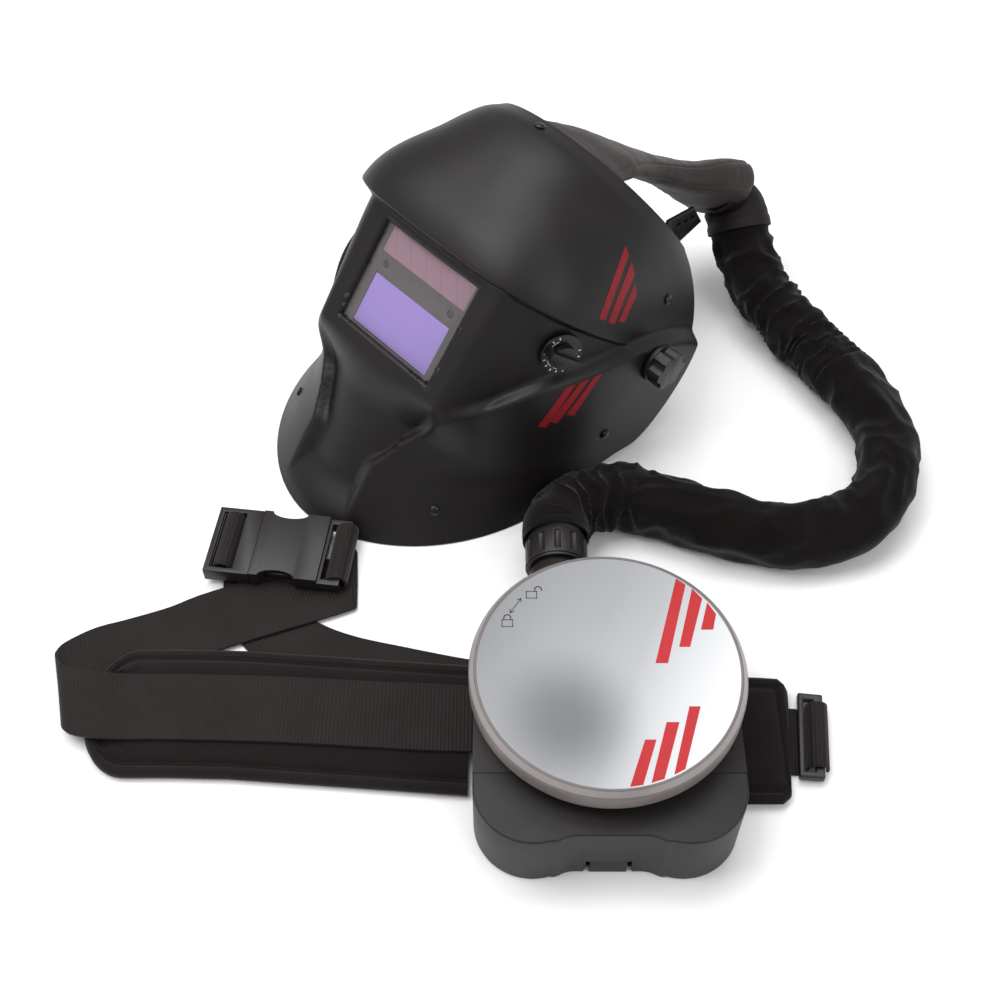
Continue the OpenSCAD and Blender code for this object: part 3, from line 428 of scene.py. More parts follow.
def banded_material(name: str, base: str, line: str, period_mm: float) -> bpy.types.Material:
    """A cell or printed surface with fine dark lines across it.

    Args:
        name: Name of the material.
        base: Main colour.
        line: Colour of the lines.
        period_mm: Distance between lines.

    Returns:
        The material.
    """
    material = bpy.data.materials.new(name)
    material.use_nodes = True
    tree = material.node_tree
    shader = tree.nodes["Principled BSDF"]
    where = add_node(tree, "ShaderNodeTexCoord")
    lines = add_node(
        tree, "ShaderNodeTexWave", {"Scale": wave_scale(period_mm)},
        {"Vector": where.outputs["Object"]}, bands_direction="X", wave_profile="SAW",
    )
    thin = add_node(
        tree, "ShaderNodeMapRange", {"From Min": 0.93, "From Max": 0.97},
        {"Value": lines.outputs["Fac"]},
    )
    cloud = add_node(
        tree, "ShaderNodeTexNoise", {"Scale": 40.0}, {"Vector": where.outputs["Object"]}
    )
    half = add_node(
        tree, "ShaderNodeMath", {1: 0.35}, {0: thin.outputs[0]}, operation="MULTIPLY"
    )
    tint = add_node(
        tree, "ShaderNodeMix", {6: linear(base), 7: linear(line)}, {0: half.outputs[0]},
        data_type="RGBA",
    )
    tree.links.new(tint.outputs[2], shader.inputs["Base Color"])
    rough = add_node(
        tree, "ShaderNodeMapRange", {"To Min": 0.18, "To Max": 0.3}, {"Value": cloud.outputs["Fac"]}
    )
    tree.links.new(rough.outputs[0], shader.inputs["Roughness"])
    shader.inputs["Specular IOR Level"].default_value = 0.3
    return material


def label_material() -> bpy.types.Material:
    """Silver printed foil with painted reflection: bright at the right, grey at the lower left, and a painted
    darker patch at the lower left.
    """
    material = bpy.data.materials.new("label_silver_foil")
    material.use_nodes = True
    tree = material.node_tree
    shader = tree.nodes["Principled BSDF"]
    where = add_node(tree, "ShaderNodeTexCoord")
    # Painted reflection: the foil runs from grey at the lower left to bright towards the right.
    slope = add_node(
        tree, "ShaderNodeVectorMath", {1: (0.93, -0.37, 0.0)}, {0: where.outputs["Object"]},
        operation="DOT_PRODUCT",
    )
    ramp = add_node(
        tree, "ShaderNodeMapRange", {"From Min": -0.084, "From Max": 0.084},
        {"Value": slope.outputs["Value"]},
    )
    painted_reflection_colours = add_node(tree, "ShaderNodeValToRGB", None, {"Fac": ramp.outputs[0]})
    stops = painted_reflection_colours.color_ramp.elements
    stops[0].position, stops[0].color = 0.0, linear("8b8c8f")
    stops[1].position, stops[1].color = 1.0, linear("e9e9ea")
    for at, shade in ((0.2, "96979a"), (0.42, "9d9ea1"), (0.6, "aaabae"), (0.8, "cfd0d2")):
        stops.new(at).color = linear(shade)
    # Painted shade: a darker grey patch near the lower left of the foil.
    away = add_node(
        tree, "ShaderNodeVectorMath", {1: (-0.03, -0.036, 0.0864)}, {0: where.outputs["Object"]},
        operation="DISTANCE",
    )
    spot = add_node(
        tree, "ShaderNodeMapRange", {"From Min": 0.006, "From Max": 0.058, "To Min": 1.0,
                                     "To Max": 0.0}, {"Value": away.outputs["Value"]},
        interpolation_type="SMOOTHSTEP",
    )
    shaded = add_node(
        tree, "ShaderNodeMix", {7: linear("6b6d70")},
        {0: spot.outputs[0], 6: painted_reflection_colours.outputs["Color"]}, data_type="RGBA",
    )
    tree.links.new(shaded.outputs[2], shader.inputs["Base Color"])
    fleck = add_node(
        tree, "ShaderNodeTexNoise", {"Scale": 1400.0, "Detail": 2.0},
        {"Vector": where.outputs["Object"]},
    )
    rough = add_node(
        tree, "ShaderNodeMapRange", {"To Min": 0.3, "To Max": 0.42}, {"Value": fleck.outputs["Fac"]}
    )
    tree.links.new(rough.outputs[0], shader.inputs["Roughness"])
    shader.inputs["Specular IOR Level"].default_value = 0.3
    return material


# ------------------------------------------------------------------ mesh tools


def leave_edit() -> None:
    """Leaves edit mode and deselects everything."""
    if bpy.context.object and bpy.context.object.mode != "OBJECT":
        bpy.ops.object.mode_set(mode="OBJECT")
    bpy.ops.object.select_all(action="DESELECT")


def activate(piece: bpy.types.Object) -> None:
    """Makes a piece the only selected and active object."""
    leave_edit()
    piece.select_set(True)
    bpy.context.view_layer.objects.active = piece


def pick(piece: bpy.types.Object, test: Predicate, mode: str = "FACE") -> int:
    """Selects the faces or edges that pass a test, in edit mode.

    Args:
        piece: The active piece, in edit mode.
        test: Takes a centre and a normal.
        mode: FACE or EDGE.

    Returns:
        How many were selected.
    """
    bpy.ops.mesh.select_mode(type=mode)
    bpy.ops.mesh.select_all(action="DESELECT")
    mesh = bmesh.from_edit_mesh(piece.data)
    mesh.normal_update()
    count = 0
    if mode == "FACE":
        for face in mesh.faces:
            if test(face.calc_center_median(), face.normal):
                face.select_set(True)
                count += 1
    else:
        for edge in mesh.edges:
            middle = (edge.verts[0].co + edge.verts[1].co) / 2
            if test(middle, (edge.verts[1].co - edge.verts[0].co).normalized()):
                edge.select_set(True)
                count += 1
    bmesh.update_edit_mesh(piece.data)
    return count


def raw_piece(
    name: str, points: Sequence[Point], faces: Sequence[Sequence[int]]
) -> bpy.types.Object:
    """Makes an object from points in millimetres.

    Args:
        name: Name of the piece.
        points: Vertex places in the row frame.
        faces: Vertex numbers of each face.

    Returns:
        The object, linked to the scene.
    """
    mesh = bpy.data.meshes.new(name)
    mesh.from_pydata([Vector(p) * MM for p in points], [], [list(f) for f in faces])
    mesh.update()
    piece = bpy.data.objects.new(name, mesh)
    bpy.context.scene.collection.objects.link(piece)
    return piece


def outward(piece: bpy.types.Object) -> None:
    """Points a closed piece's faces outwards."""
    activate(piece)
    bpy.ops.object.mode_set(mode="EDIT")
    bpy.ops.mesh.select_all(action="SELECT")
    bpy.ops.mesh.remove_doubles(threshold=1e-6)
    bpy.ops.mesh.normals_make_consistent(inside=False)
    leave_edit()


def add_modifier(piece: bpy.types.Object, kind: str, **settings: object) -> None:
    """Adds a modifier and applies it.

    Args:
        piece: The piece.
        kind: The modifier's type.
        **settings: The modifier's properties.
    """
    activate(piece)
    modifier = piece.modifiers.new(kind.lower(), kind)
    for key, value in settings.items():
        setattr(modifier, key, value)
    bpy.ops.object.modifier_apply(modifier=modifier.name)


def bevelled(piece: bpy.types.Object, width_mm: float, segments: int = 2, angle: float = 32) -> None:
    """Rounds a piece's sharp edges."""
    add_modifier(
        piece, "BEVEL", width=width_mm * MM, segments=segments, limit_method="ANGLE",
        angle_limit=math.radians(angle), use_clamp_overlap=True,
    )


def smoothed(piece: bpy.types.Object, angle: float = 35) -> None:
    """Shades a piece smooth, apart from its sharp edges."""
    activate(piece)
    bpy.ops.object.shade_smooth_by_angle(angle=math.radians(angle))
    leave_edit()


def dress(
    piece: bpy.types.Object,
    node: str,
    finish: "Finish | bpy.types.Material",
    stands_for: bool = True,
    angle: float = 35,
) -> bpy.types.Object:
    """Dresses a finished piece and hands it to a CAD node's body.

    Args:
        piece: The piece.
        node: The CAD node that it stands for, or that it belongs to.
        finish: Its finish or material.
        stands_for: False where the piece only adds to the node.
        angle: Edges sharper than this stay sharp.

    Returns:
        The piece.
    """
    smoothed(piece, angle)
    made = finish.material() if isinstance(finish, Finish) else finish
    piece.data.materials.clear()
    piece.data.materials.append(made)
    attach(piece, frame["nodes"][node]["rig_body"])
    if stands_for:
        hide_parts(node)
    LOG.info("%s: %d faces", piece.name, len(piece.data.polygons))
    return piece


def paint(node: str, finish: "Finish | bpy.types.Material") -> None:
    """Gives a CAD node that stays its finish."""
    made = finish.material() if isinstance(finish, Finish) else finish
    for slot in frame["nodes"][node].material_slots:
        slot.material = made
    LOG.info("%s: kept, %s", node, made.name)


def carried(
    node: str, finish: "Finish | bpy.types.Material", round_mm: float = 0.4, segments: int = 2
) -> bpy.types.Object:
    """Takes a hard CAD node over with rounded edges and its finish.

    Args:
        node: The CAD node.
        finish: Its finish or material.
        round_mm: Radius of its edges.
        segments: Faces across each rounded edge.

    Returns:
        The piece.
    """
    source = frame["nodes"][node]
    piece = bpy.data.objects.new(node + "_piece", source.data.copy())
    bpy.context.scene.collection.objects.link(piece)
    activate(piece)
    if piece.data.has_custom_normals:
        bpy.ops.mesh.customdata_custom_splitnormals_clear()
    bpy.ops.object.mode_set(mode="EDIT")
    bpy.ops.mesh.select_all(action="SELECT")
    bpy.ops.mesh.remove_doubles(threshold=1e-6)
    bpy.ops.mesh.dissolve_limited(angle_limit=math.radians(1.0))
    leave_edit()
    bevelled(piece, round_mm, segments, 40)
    return dress(piece, node, finish, angle=40)


def turned(
    name: str, profile: Sequence[tuple[float, float]], origin: Vector, axis: Vector, steps: int = 96
) -> bpy.types.Object:
    """Spins a closed profile of (radius, height) about an axis.

    Args:
        name: Name of the piece.
        profile: Radius and height in millimetres, from the axis out and back.
        origin: Where the axis starts, in metres.
        axis: Direction of the axis.
        steps: Segments round the axis.

    Returns:
        The piece.
    """
    turn = axis.to_track_quat("Z", "Y").to_matrix()
    spots = [origin + turn @ Vector((r * MM, 0, h * MM)) for r, h in profile]
    mesh = bpy.data.meshes.new(name)
    count = len(spots)
    closed = all(r > 1e-6 for r, _ in profile)
    edges = [(i, i + 1) for i in range(count - 1)] + ([(count - 1, 0)] if closed else [])
    mesh.from_pydata(spots, edges, [])
    piece = bpy.data.objects.new(name, mesh)
    bpy.context.scene.collection.objects.link(piece)
    activate(piece)
    bpy.ops.object.mode_set(mode="EDIT")
    bpy.ops.mesh.select_all(action="SELECT")
    bpy.ops.mesh.spin(steps=steps, angle=math.tau, center=origin, axis=axis)
    bpy.ops.mesh.select_all(action="SELECT")
    bpy.ops.mesh.remove_doubles(threshold=1e-6)
    bpy.ops.mesh.normals_make_consistent(inside=False)
    leave_edit()
    return piece


def slab(
    name: str, outline: Sequence[tuple[float, float]], low: float, high: float
) -> bpy.types.Object:
    """Extrudes a flat outline upwards.

    Args:
        name: Name of the piece.
        outline: Corners in millimetres.
        low: Bottom height.
        high: Top height.

    Returns:
        The piece.
    """
    piece = raw_piece(name, [(x, y, low) for x, y in outline], [range(len(outline))])
    activate(piece)
    bpy.ops.object.mode_set(mode="EDIT")
    bpy.ops.mesh.select_all(action="SELECT")
    bpy.ops.mesh.extrude_region_move(
        TRANSFORM_OT_translate={"value": (0, 0, (high - low) * MM)}
    )
    leave_edit()
    outward(piece)
    return piece


def box_piece(name: str, low: Point, high: Point) -> bpy.types.Object:
    """Adds a cube between two corners in millimetres, as a start for a piece."""
    leave_edit()
    size = [(b - a) * MM for a, b in zip(low, high)]
    middle = [(a + b) / 2 * MM for a, b in zip(low, high)]
    bpy.ops.mesh.primitive_cube_add(size=1, location=middle, scale=size)
    piece = bpy.context.object
    piece.name = name
    bpy.ops.object.transform_apply(location=True, rotation=True, scale=True)
    leave_edit()
    return piece


def cut(piece: bpy.types.Object, tool: bpy.types.Object) -> None:
    """Cuts one piece out of another and removes the tool."""
    add_modifier(piece, "BOOLEAN", object=tool, operation="DIFFERENCE", solver="EXACT")
    bpy.data.objects.remove(tool)


def joined(name: str, pieces: Iterable[bpy.types.Object]) -> bpy.types.Object:
    """Joins pieces of one finish into one object."""
    group = list(pieces)
    leave_edit()
    for piece in group:
        piece.select_set(True)
    bpy.context.view_layer.objects.active = group[0]
    if len(group) > 1:
        bpy.ops.object.join()
    group[0].name = name
    leave_edit()
    return group[0]


def spline(points: Sequence[Point], step: float) -> np.ndarray:
    """Samples a smooth curve through points.

    Args:
        points: The points.
        step: Distance between samples, in the points' unit.

    Returns:
        The samples, evenly spaced.
    """
    p = np.array(points, float)
    p = np.vstack([2 * p[0] - p[1], p, 2 * p[-1] - p[-2]])
    fine = []
    for i in range(1, len(p) - 2):
        for t in np.linspace(0, 1, 24, endpoint=False):
            a, b, c, d = p[i - 1], p[i], p[i + 1], p[i + 2]
            fine.append(
                0.5 * (2 * b + (c - a) * t + (2 * a - 5 * b + 4 * c - d) * t * t
                       + (3 * b - a - 3 * c + d) * t ** 3)
            )
    fine = np.array(fine + [p[-2]])
    run = np.concatenate([[0], np.cumsum(np.linalg.norm(np.diff(fine[:, :3], axis=0), axis=1))])
    at = np.linspace(0, run[-1], max(2, int(round(run[-1] / step)) + 1))
    return np.stack([np.interp(at, run, fine[:, k]) for k in range(p.shape[1])], 1)


def loft(
    name: str, rings: Sequence[Sequence[Point]], closed: bool = False, uv_scale: float = MM
) -> bpy.types.Object:
    """Skins closed rings into a tube, with UVs in metres along and round it.

    Args:
        name: Name of the piece.
        rings: Rings of points in millimetres, all of one count.
        closed: True to fill both ends.
        uv_scale: Metres per millimetre of the UV map.

    Returns:
        The piece.
    """
    m, n = len(rings), len(rings[0])
    points = [p for ring in rings for p in ring]
    faces = [
        (i * n + k, i * n + (k + 1) % n, (i + 1) * n + (k + 1) % n, (i + 1) * n + k)
        for i in range(m - 1) for k in range(n)
    ]
    centres = np.array([np.mean(np.array(r, float), 0) for r in rings])
    run = np.concatenate([[0], np.cumsum(np.linalg.norm(np.diff(centres, axis=0), axis=1))])
    girth = max(
        sum((Vector(rings[m // 2][k]) - Vector(rings[m // 2][(k + 1) % n])).length for k in range(n)),
        1e-3,
    )
    piece = raw_piece(name, points, faces)
    layer = piece.data.uv_layers.new(name="cloth")
    for polygon in piece.data.polygons:
        i, k = divmod(polygon.index, n)
        for loop, (a, b) in zip(polygon.loop_indices, ((i, k), (i, k + 1), (i + 1, k + 1), (i + 1, k))):
            layer.data[loop].uv = (run[a] * uv_scale, b / n * girth * uv_scale)
    if closed:
        activate(piece)
        bpy.ops.object.mode_set(mode="EDIT")
        bpy.ops.mesh.select_all(action="SELECT")
        bpy.ops.mesh.region_to_loop()
        bpy.ops.mesh.edge_face_add()
        leave_edit()
    return piece


def grid_piece(name: str, rows: Sequence[Sequence[Point]], uv: Optional[Callable] = None):
    """Makes an open surface from rows of points in millimetres.

    Args:
        name: Name of the piece.
        rows: Rows of points, all of one count.
        uv: Takes row and column and gives the UV in metres.

    Returns:
        The piece.
    """
    m, n = len(rows), len(rows[0])
    faces = [
        (i * n + k, i * n + k + 1, (i + 1) * n + k + 1, (i + 1) * n + k)
        for i in range(m - 1) for k in range(n - 1)
    ]
    piece = raw_piece(name, [p for row in rows for p in row], faces)
    if uv:
        layer = piece.data.uv_layers.new(name="cloth")
        for polygon in piece.data.polygons:
            i, k = divmod(polygon.index, n - 1)
            for loop, (a, b) in zip(
                polygon.loop_indices, ((i, k), (i, k + 1), (i + 1, k + 1), (i + 1, k))
            ):
                layer.data[loop].uv = uv(a, b)
    return piece


def ribbon(
    name: str, stations: Sequence[Point], thick: float, step: float = 3.0, crown: float = 0.0,
    columns: int = 12,
) -> tuple[bpy.types.Object, float]:
    """Makes a strap from pairs of edge points, with its UVs along it.

    Args:
        name: Name of the piece.
        stations: Six numbers each: the strap's one edge and its other edge.
        thick: Thickness of the strap.
        step: Distance between rows.
        crown: How far the strap's middle stands up.
        columns: Faces across the strap.

    Returns:
        The piece and the strap's length, both from millimetres.
    """
    lines = spline(stations, step)
    middle = (lines[:, :3] + lines[:, 3:]) / 2
    run = np.concatenate([[0], np.cumsum(np.linalg.norm(np.diff(middle, axis=0), axis=1))])
    width = float(np.mean(np.linalg.norm(lines[:, 3:] - lines[:, :3], axis=1)))
    rows = []
    for i, line in enumerate(lines):
        a, b = line[:3], line[3:]
        ahead = middle[min(i + 1, len(lines) - 1)] - middle[max(i - 1, 0)]
        normal = np.cross(ahead, b - a)
        normal /= np.linalg.norm(normal) + 1e-9
        rows.append([a + (b - a) * t + normal * crown * 4 * t * (1 - t)
                     for t in np.linspace(0, 1, columns + 1)])
    piece = grid_piece(name, rows, lambda i, k: (run[i] * MM, k / columns * width * MM))
    add_modifier(piece, "SOLIDIFY", thickness=thick * MM, offset=0.0)
    bevelled(piece, thick * 0.3, 2, 60)
    return piece, float(run[-1]) * MM


def dashes(
    name: str, points: Sequence[Point], normals: Sequence[Point], length: float, wide: float
) -> bpy.types.Object:
    """Lays short stitches along a line.

    Args:
        name: Name of the piece.
        points: Places in millimetres, one stitch to each pair of neighbours.
        normals: Surface normal at each place.
        length: Share of the pitch that a stitch fills.
        wide: Width of the thread in millimetres.

    Returns:
        The stitches as one piece.
    """
    verts, faces = [], []
    for i in range(0, len(points) - 1):
        a, b, n = (np.array(v, float) for v in (points[i], points[i + 1], normals[i]))
        way = b - a
        n = n / (np.linalg.norm(n) + 1e-9)
        side = np.cross(n, way)
        side = side / (np.linalg.norm(side) + 1e-9) * wide / 2
        start, end = a + way * (1 - length) / 2, a + way * (1 + length) / 2
        top = n * wide * 0.45
        base = len(verts)
        for spot in (start, (start + end) / 2, end):
            rise = top if spot is not start and spot is not end else top * 0.2
            verts += [spot - side, spot + rise, spot + side, spot - n * 0.3]
        for j in (0, 1):
            for k in range(4):
                faces.append([base + j * 4 + k, base + j * 4 + (k + 1) % 4,
                              base + (j + 1) * 4 + (k + 1) % 4, base + (j + 1) * 4 + k])
        faces += [[base + 3, base + 2, base + 1, base], [base + 8, base + 9, base + 10, base + 11]]
    piece = raw_piece(name, verts, faces)
    outward(piece)
    return piece


def smooth(x: float) -> float:
    """Eases from 0 at 0 to 1 at 1."""
    c = min(max(x, 0.0), 1.0)
    return c * c * (3 - 2 * c)


def blend(a: float, b: float, t: float) -> float:
    """Mixes a and b."""
    return a + (b - a) * t


# ------------------------------------------------------------------ helmet space


class HelmetSpace:
    """The helmet's own axes: forward, to the wearer's left, and up, from its pivot axis."""

    def __init__(self) -> None:
        """Reads the axes from the frame's record."""
        tilt = next(j for j in frame["joints"] if j["name"] == "shell_tilt")
        opening = next(m for m in frame["record"]["mounts"] if m["name"] == "head_opening")
        self.origin = Vector(tilt["pos_m"])
        self.left = -Vector(tilt["axis"]).normalized()
        self.up = -Vector(opening["axis"]).normalized()
        self.forward = self.left.cross(self.up)

    def way(self, f: float, l: float, u: float) -> Vector:
        """Returns a direction of the row frame."""
        return self.forward * f + self.left * l + self.up * u

    def at(self, f: float, l: float, u: float) -> tuple[float, float, float]:
        """Returns a place of the row frame, in millimetres."""
        return tuple(self.origin / MM + self.way(f, l, u))

    def place(self, piece: bpy.types.Object) -> None:
        """Moves a mesh made on the helmet's own axes to its place in the row frame."""
        turn = Matrix((self.forward, self.left, self.up)).transposed().to_4x4()
        piece.data.transform(Matrix.Translation(self.origin) @ turn)
        piece.data.update()


HELMET = HelmetSpace()


def tube_rings(
    centres: np.ndarray, radius: Callable[[int, float], float], around: int, floor: float = 0.4
) -> list[list[np.ndarray]]:
    """Sets rings along a curve without twist.

    Args:
        centres: Points of the curve in millimetres.
        radius: Takes the ring's number and the angle and gives the radius.
        around: Points in a ring.
        floor: Lowest height that a point may have.

    Returns:
        The rings.
    """
    ahead = np.gradient(centres, axis=0)
    ahead /= np.linalg.norm(ahead, axis=1)[:, None]
    side = np.cross(ahead[0], (0, 0, 1))
    side /= np.linalg.norm(side)
    rings = []
    for i, (centre, t) in enumerate(zip(centres, ahead)):
        side = side - t * side.dot(t)
        side /= np.linalg.norm(side)
        other = np.cross(side, t)
        ring = []
        for k in range(around):
            q = math.tau * k / around
            spot = centre + (side * math.cos(q) + other * math.sin(q)) * radius(i, q)
            spot[2] = max(spot[2], floor)
            ring.append(spot)
        rings.append(ring)
    return rings


# ------------------------------------------------------------------ studio


@dataclass
class Studio:
    """Camera, pale floor and soft lights.

    Args:
        eye: Place of the camera in metres.
        tip: Angle from straight down, in degrees.
        lens: Focal length in millimetres.
    """

    eye: tuple[float, float, float] = (-0.0687, -0.4516, 0.849)
    tip: float = 37.5
    lens: float = 50.0

    def build(self) -> None:
        """Adds the camera, the floor and the lights."""
        leave_edit()
        camera = bpy.data.objects.new("camera", bpy.data.cameras.new("camera"))
        bpy.context.scene.collection.objects.link(camera)
        camera.location = self.eye
        camera.rotation_euler = (math.radians(self.tip), 0, 0)
        camera.data.lens = self.lens
        camera.data.sensor_width = 36.0
        camera.data.clip_start = 0.01
        bpy.context.scene.camera = camera
        # Plain sRGB display, so the inks and blacks keep the values of their hex colours.
        bpy.context.scene.view_settings.view_transform = "Standard"
        bpy.ops.mesh.primitive_plane_add(size=8.0, location=(0, 0, 0))
        floor = bpy.context.object
        floor.name = "floor"
        material = bpy.data.materials.new("white_paper_floor")
        material.use_nodes = True
        shader = material.node_tree.nodes["Principled BSDF"]
        shader.inputs["Base Color"].default_value = linear("fbfbfb")
        shader.inputs["Roughness"].default_value = 0.85
        shader.inputs["Specular IOR Level"].default_value = 0.1
        floor.data.materials.append(material)
        world = bpy.data.worlds.new("studio")
        world.use_nodes = True
        world.node_tree.nodes["Background"].inputs[0].default_value = linear("fafafc")
        world.node_tree.nodes["Background"].inputs[1].default_value = 0.5
        bpy.context.scene.world = world
        self.lamp("key", (-0.9, 0.2, 1.7), (-0.05, 0.2, 0.0), 1.2, 22.0)
        self.lamp("fill", (1.2, -0.8, 1.3), (0.0, 0.1, 0.0), 1.3, 10.0)
        self.lamp("top", (0.1, 0.9, 1.9), (0.0, 0.15, 0.0), 1.2, 16.0)

    def lamp(
        self, name: str, place: Point, target: Point, size: float, power: float
    ) -> None:
        """Adds one square softbox.

        Args:
            name: Its name.
            place: Where it hangs, in metres.
            target: Where it points.
            size: Its side in metres.
            power: Its power in watts.
        """
        light = bpy.data.lights.new(name, "AREA")
        light.size = size
        light.energy = power
        lamp = bpy.data.objects.new(name, light)
        bpy.context.scene.collection.objects.link(lamp)
        lamp.location = place
        way = Vector(target) - Vector(place)
        lamp.rotation_euler = way.to_track_quat("-Z", "Y").to_euler()


# ------------------------------------------------------------------ hose


@dataclass
class Hose:
    """The corrugated breathing hose in its cloth sleeve, with the elbow at its top.

    Args:
        route: Centre line in millimetres, from the collar to the elbow.
        sleeve_r: Mean radius of the sleeve.
        hose_r: Outside radius of the corrugated hose.
        least_r: Smallest radius of the wrinkled sleeve.
        most_r: Largest radius of the wrinkled sleeve.
        hem: Length of the sewn hem at each end.
        step: Distance between rings.
        around: Faces round the sleeve.
    """

    route: tuple = (
        (-28, 140, 30), (-28, 150, 30), (-23, 162, 28.5), (-13, 173, 26.5), (0, 181, 25.5),
        (16, 184, 25), (34, 182, 24.5), (56, 175, 24.5), (78, 166, 24.5), (100, 158, 24.5),
        (122, 152, 24.5), (144, 149, 24.5), (166, 151, 24.5), (187, 158, 24.5),
        (205, 171, 24.5), (219, 191, 24.5), (227, 214, 24.5), (230, 240, 24.5),
        (226, 265, 24.5), (216, 288, 24.5), (203, 311, 24.5), (190, 333, 25),
        (176, 354, 26), (168, 367, 27.2), (160, 379.5, 28.8), (153, 392.5, 31),
        (147, 405.5, 34.3), (142, 418.5, 39), (137.7, 431.5, 45.8), (134.3, 443.5, 54.2),
        (131.7, 454.6, 63.9),
    )
    sleeve_r: float = 24.0
    hose_r: float = 19.4
    least_r: float = 21.4
    most_r: float = 28.6
    hem: float = 15.0
    step: float = 2.4
    around: int = 84
    centres: np.ndarray = field(init=False)
    length: float = field(init=False)

    def __post_init__(self) -> None:
        """Samples the centre line."""
        self.centres = spline(self.route, self.step)
        self.length = float(np.sum(np.linalg.norm(np.diff(self.centres, axis=0), axis=1)))

    def wrinkle(self, i: int, q: float) -> float:
        """Radius of the sleeve at ring i and angle q, in millimetres."""
        run = i * self.step
        left = self.length - run
        ends = smooth((run - self.hem) / 14) * smooth((left - self.hem) / 10)
        bunch = max(1.0 - max(run - 95, 0) / 60, 1.0 - max(left - 130, 0) / 80, 0.42)
        x, y = math.cos(q), math.sin(q)
        drift = noise.noise(Vector((run / 60, x * 0.8, y * 0.8))) * 14
        rings = noise.noise(Vector(((run + drift) / (13 + 16 * (1 - bunch)), x * 0.7, y * 0.7 + 4)))
        folds = noise.noise(Vector((run / 58, x * 1.5 + 7, y * 1.5)))
        creases = noise.noise(Vector(((run + 30 * x + drift) / 30, x * 1.1, y * 1.1 + 9)))
        fine = noise.noise(Vector((run / 6.5, x * 3, y * 3 + 2)))
        swell = (
            5.6 * bunch * (0.36 - abs(rings) * 1.9)
            + 3.4 * folds
            + 2.4 * (0.3 - abs(creases) * 1.6)
            + 0.2 * fine
        )
        full = self.sleeve_r + ends * swell
        if run < self.hem or left < self.hem:
            full = self.sleeve_r + 0.4 + 0.5 * noise.noise(Vector((run / 9, x * 2, y * 2)))
        return min(max(full, self.least_r), self.most_r)

    def sleeve(self) -> bpy.types.Object:
        """Makes the wrinkled cloth sleeve with its hems."""
        rings = tube_rings(self.centres, self.wrinkle, self.around)
        piece = loft("hose_sleeve_cloth", rings)
        outward_shell(piece)
        add_modifier(piece, "SOLIDIFY", thickness=1.3 * MM, offset=-1.0)
        dress(piece, "hose_sleeve", SLEEVE, angle=60)
        for at, name in ((self.hem * 0.24, "near"), (self.hem * 0.86, "far")):
            for top in (False, True):
                run = self.length - at if top else at
                self.stitches(f"sleeve_stitch_{'top' if top else 'foot'}_{name}", run)
        return piece

    def stitches(self, name: str, run: float) -> None:
        """Sews one row of stitches round the sleeve.

        Args:
            name: Name of the piece.
            run: Distance along the hose in millimetres.
        """
        i = int(round(run / self.step))
        count = 60
        ring = tube_rings(self.centres[i - 1 : i + 2], lambda _, q: self.wrinkle(i, q) + 0.15, count)[1]
        normals = [spot - self.centres[i] for spot in ring]
        piece = dashes(name, ring + ring[:1], normals + normals[:1], 0.62, 0.7)
        dress(piece, "hose_sleeve", THREAD, stands_for=False)

    def inner_hose(self) -> bpy.types.Object:
        """Makes the corrugated breathing hose inside the sleeve."""
        pitch = 6.0
        centres = spline(self.route, pitch / 4)
        depth = (0.0, 0.75, 1.0, 0.75)
        rings = tube_rings(centres, lambda i, _: self.hose_r - 2.2 * (1 - depth[i % 4]), 28)
        piece = loft("breathing_hose_tube", rings)
        outward_shell(piece)
        add_modifier(piece, "SOLIDIFY", thickness=1.2 * MM, offset=-1.0)
        return dress(piece, "breathing_hose", GREY_HOSE, angle=50)

    def elbow(self) -> bpy.types.Object:
        """Makes the soft cover of the elbow between the head duct and the hose."""
        route = np.array(self.route, float)
        end = route[-1]
        ahead = end - route[-2]
        ahead /= np.linalg.norm(ahead)
        start = np.array(HELMET.at(-131, 26.8, 118.8))
        second = start + np.array(HELMET.way(-19, 2.6, 1.2))
        third = end + ahead * 12.3
        way = []
        for s in np.linspace(0, 1, 34):
            way.append(
                (1 - s) ** 3 * start + 3 * s * (1 - s) ** 2 * second
                + 3 * s * s * (1 - s) * third + s ** 3 * (end - ahead * 13)
            )
        centres = np.array(way)

        def girth(i: int, q: float) -> float:
            """Radius of the elbow's cover at ring i and angle q."""
            share = i / (len(way) - 1)
            place = Vector((share * 3.6, math.cos(q) * 1.2, math.sin(q) * 1.2))
            swell = 1.6 * noise.noise(place) + 1.2 * (0.3 - abs(noise.noise(place * 2.3)))
            base = blend(21.0, 25.8, smooth((share - 0.35) / 0.4))
            hem = 0.9 * (1.0 if share > 0.9 else 0.0)
            return base + swell * (1 - smooth((share - 0.8) / 0.1)) + hem

        piece = loft("duct_elbow_cover", tube_rings(centres, girth, 56))
        outward_shell(piece)
        add_modifier(piece, "SOLIDIFY", thickness=1.4 * MM, offset=-1.0)
        return dress(piece, "duct_elbow", PIPING, angle=50)

    def build(self) -> None:
        sleeve = self.sleeve()
        inner = self.inner_hose()
        self.elbow()
        carried("hose_cuff", RUBBER, 0.3)
        LOG.info("hose: %.0f mm of sleeve", self.length)


# ------------------------------------------------------------------ blower


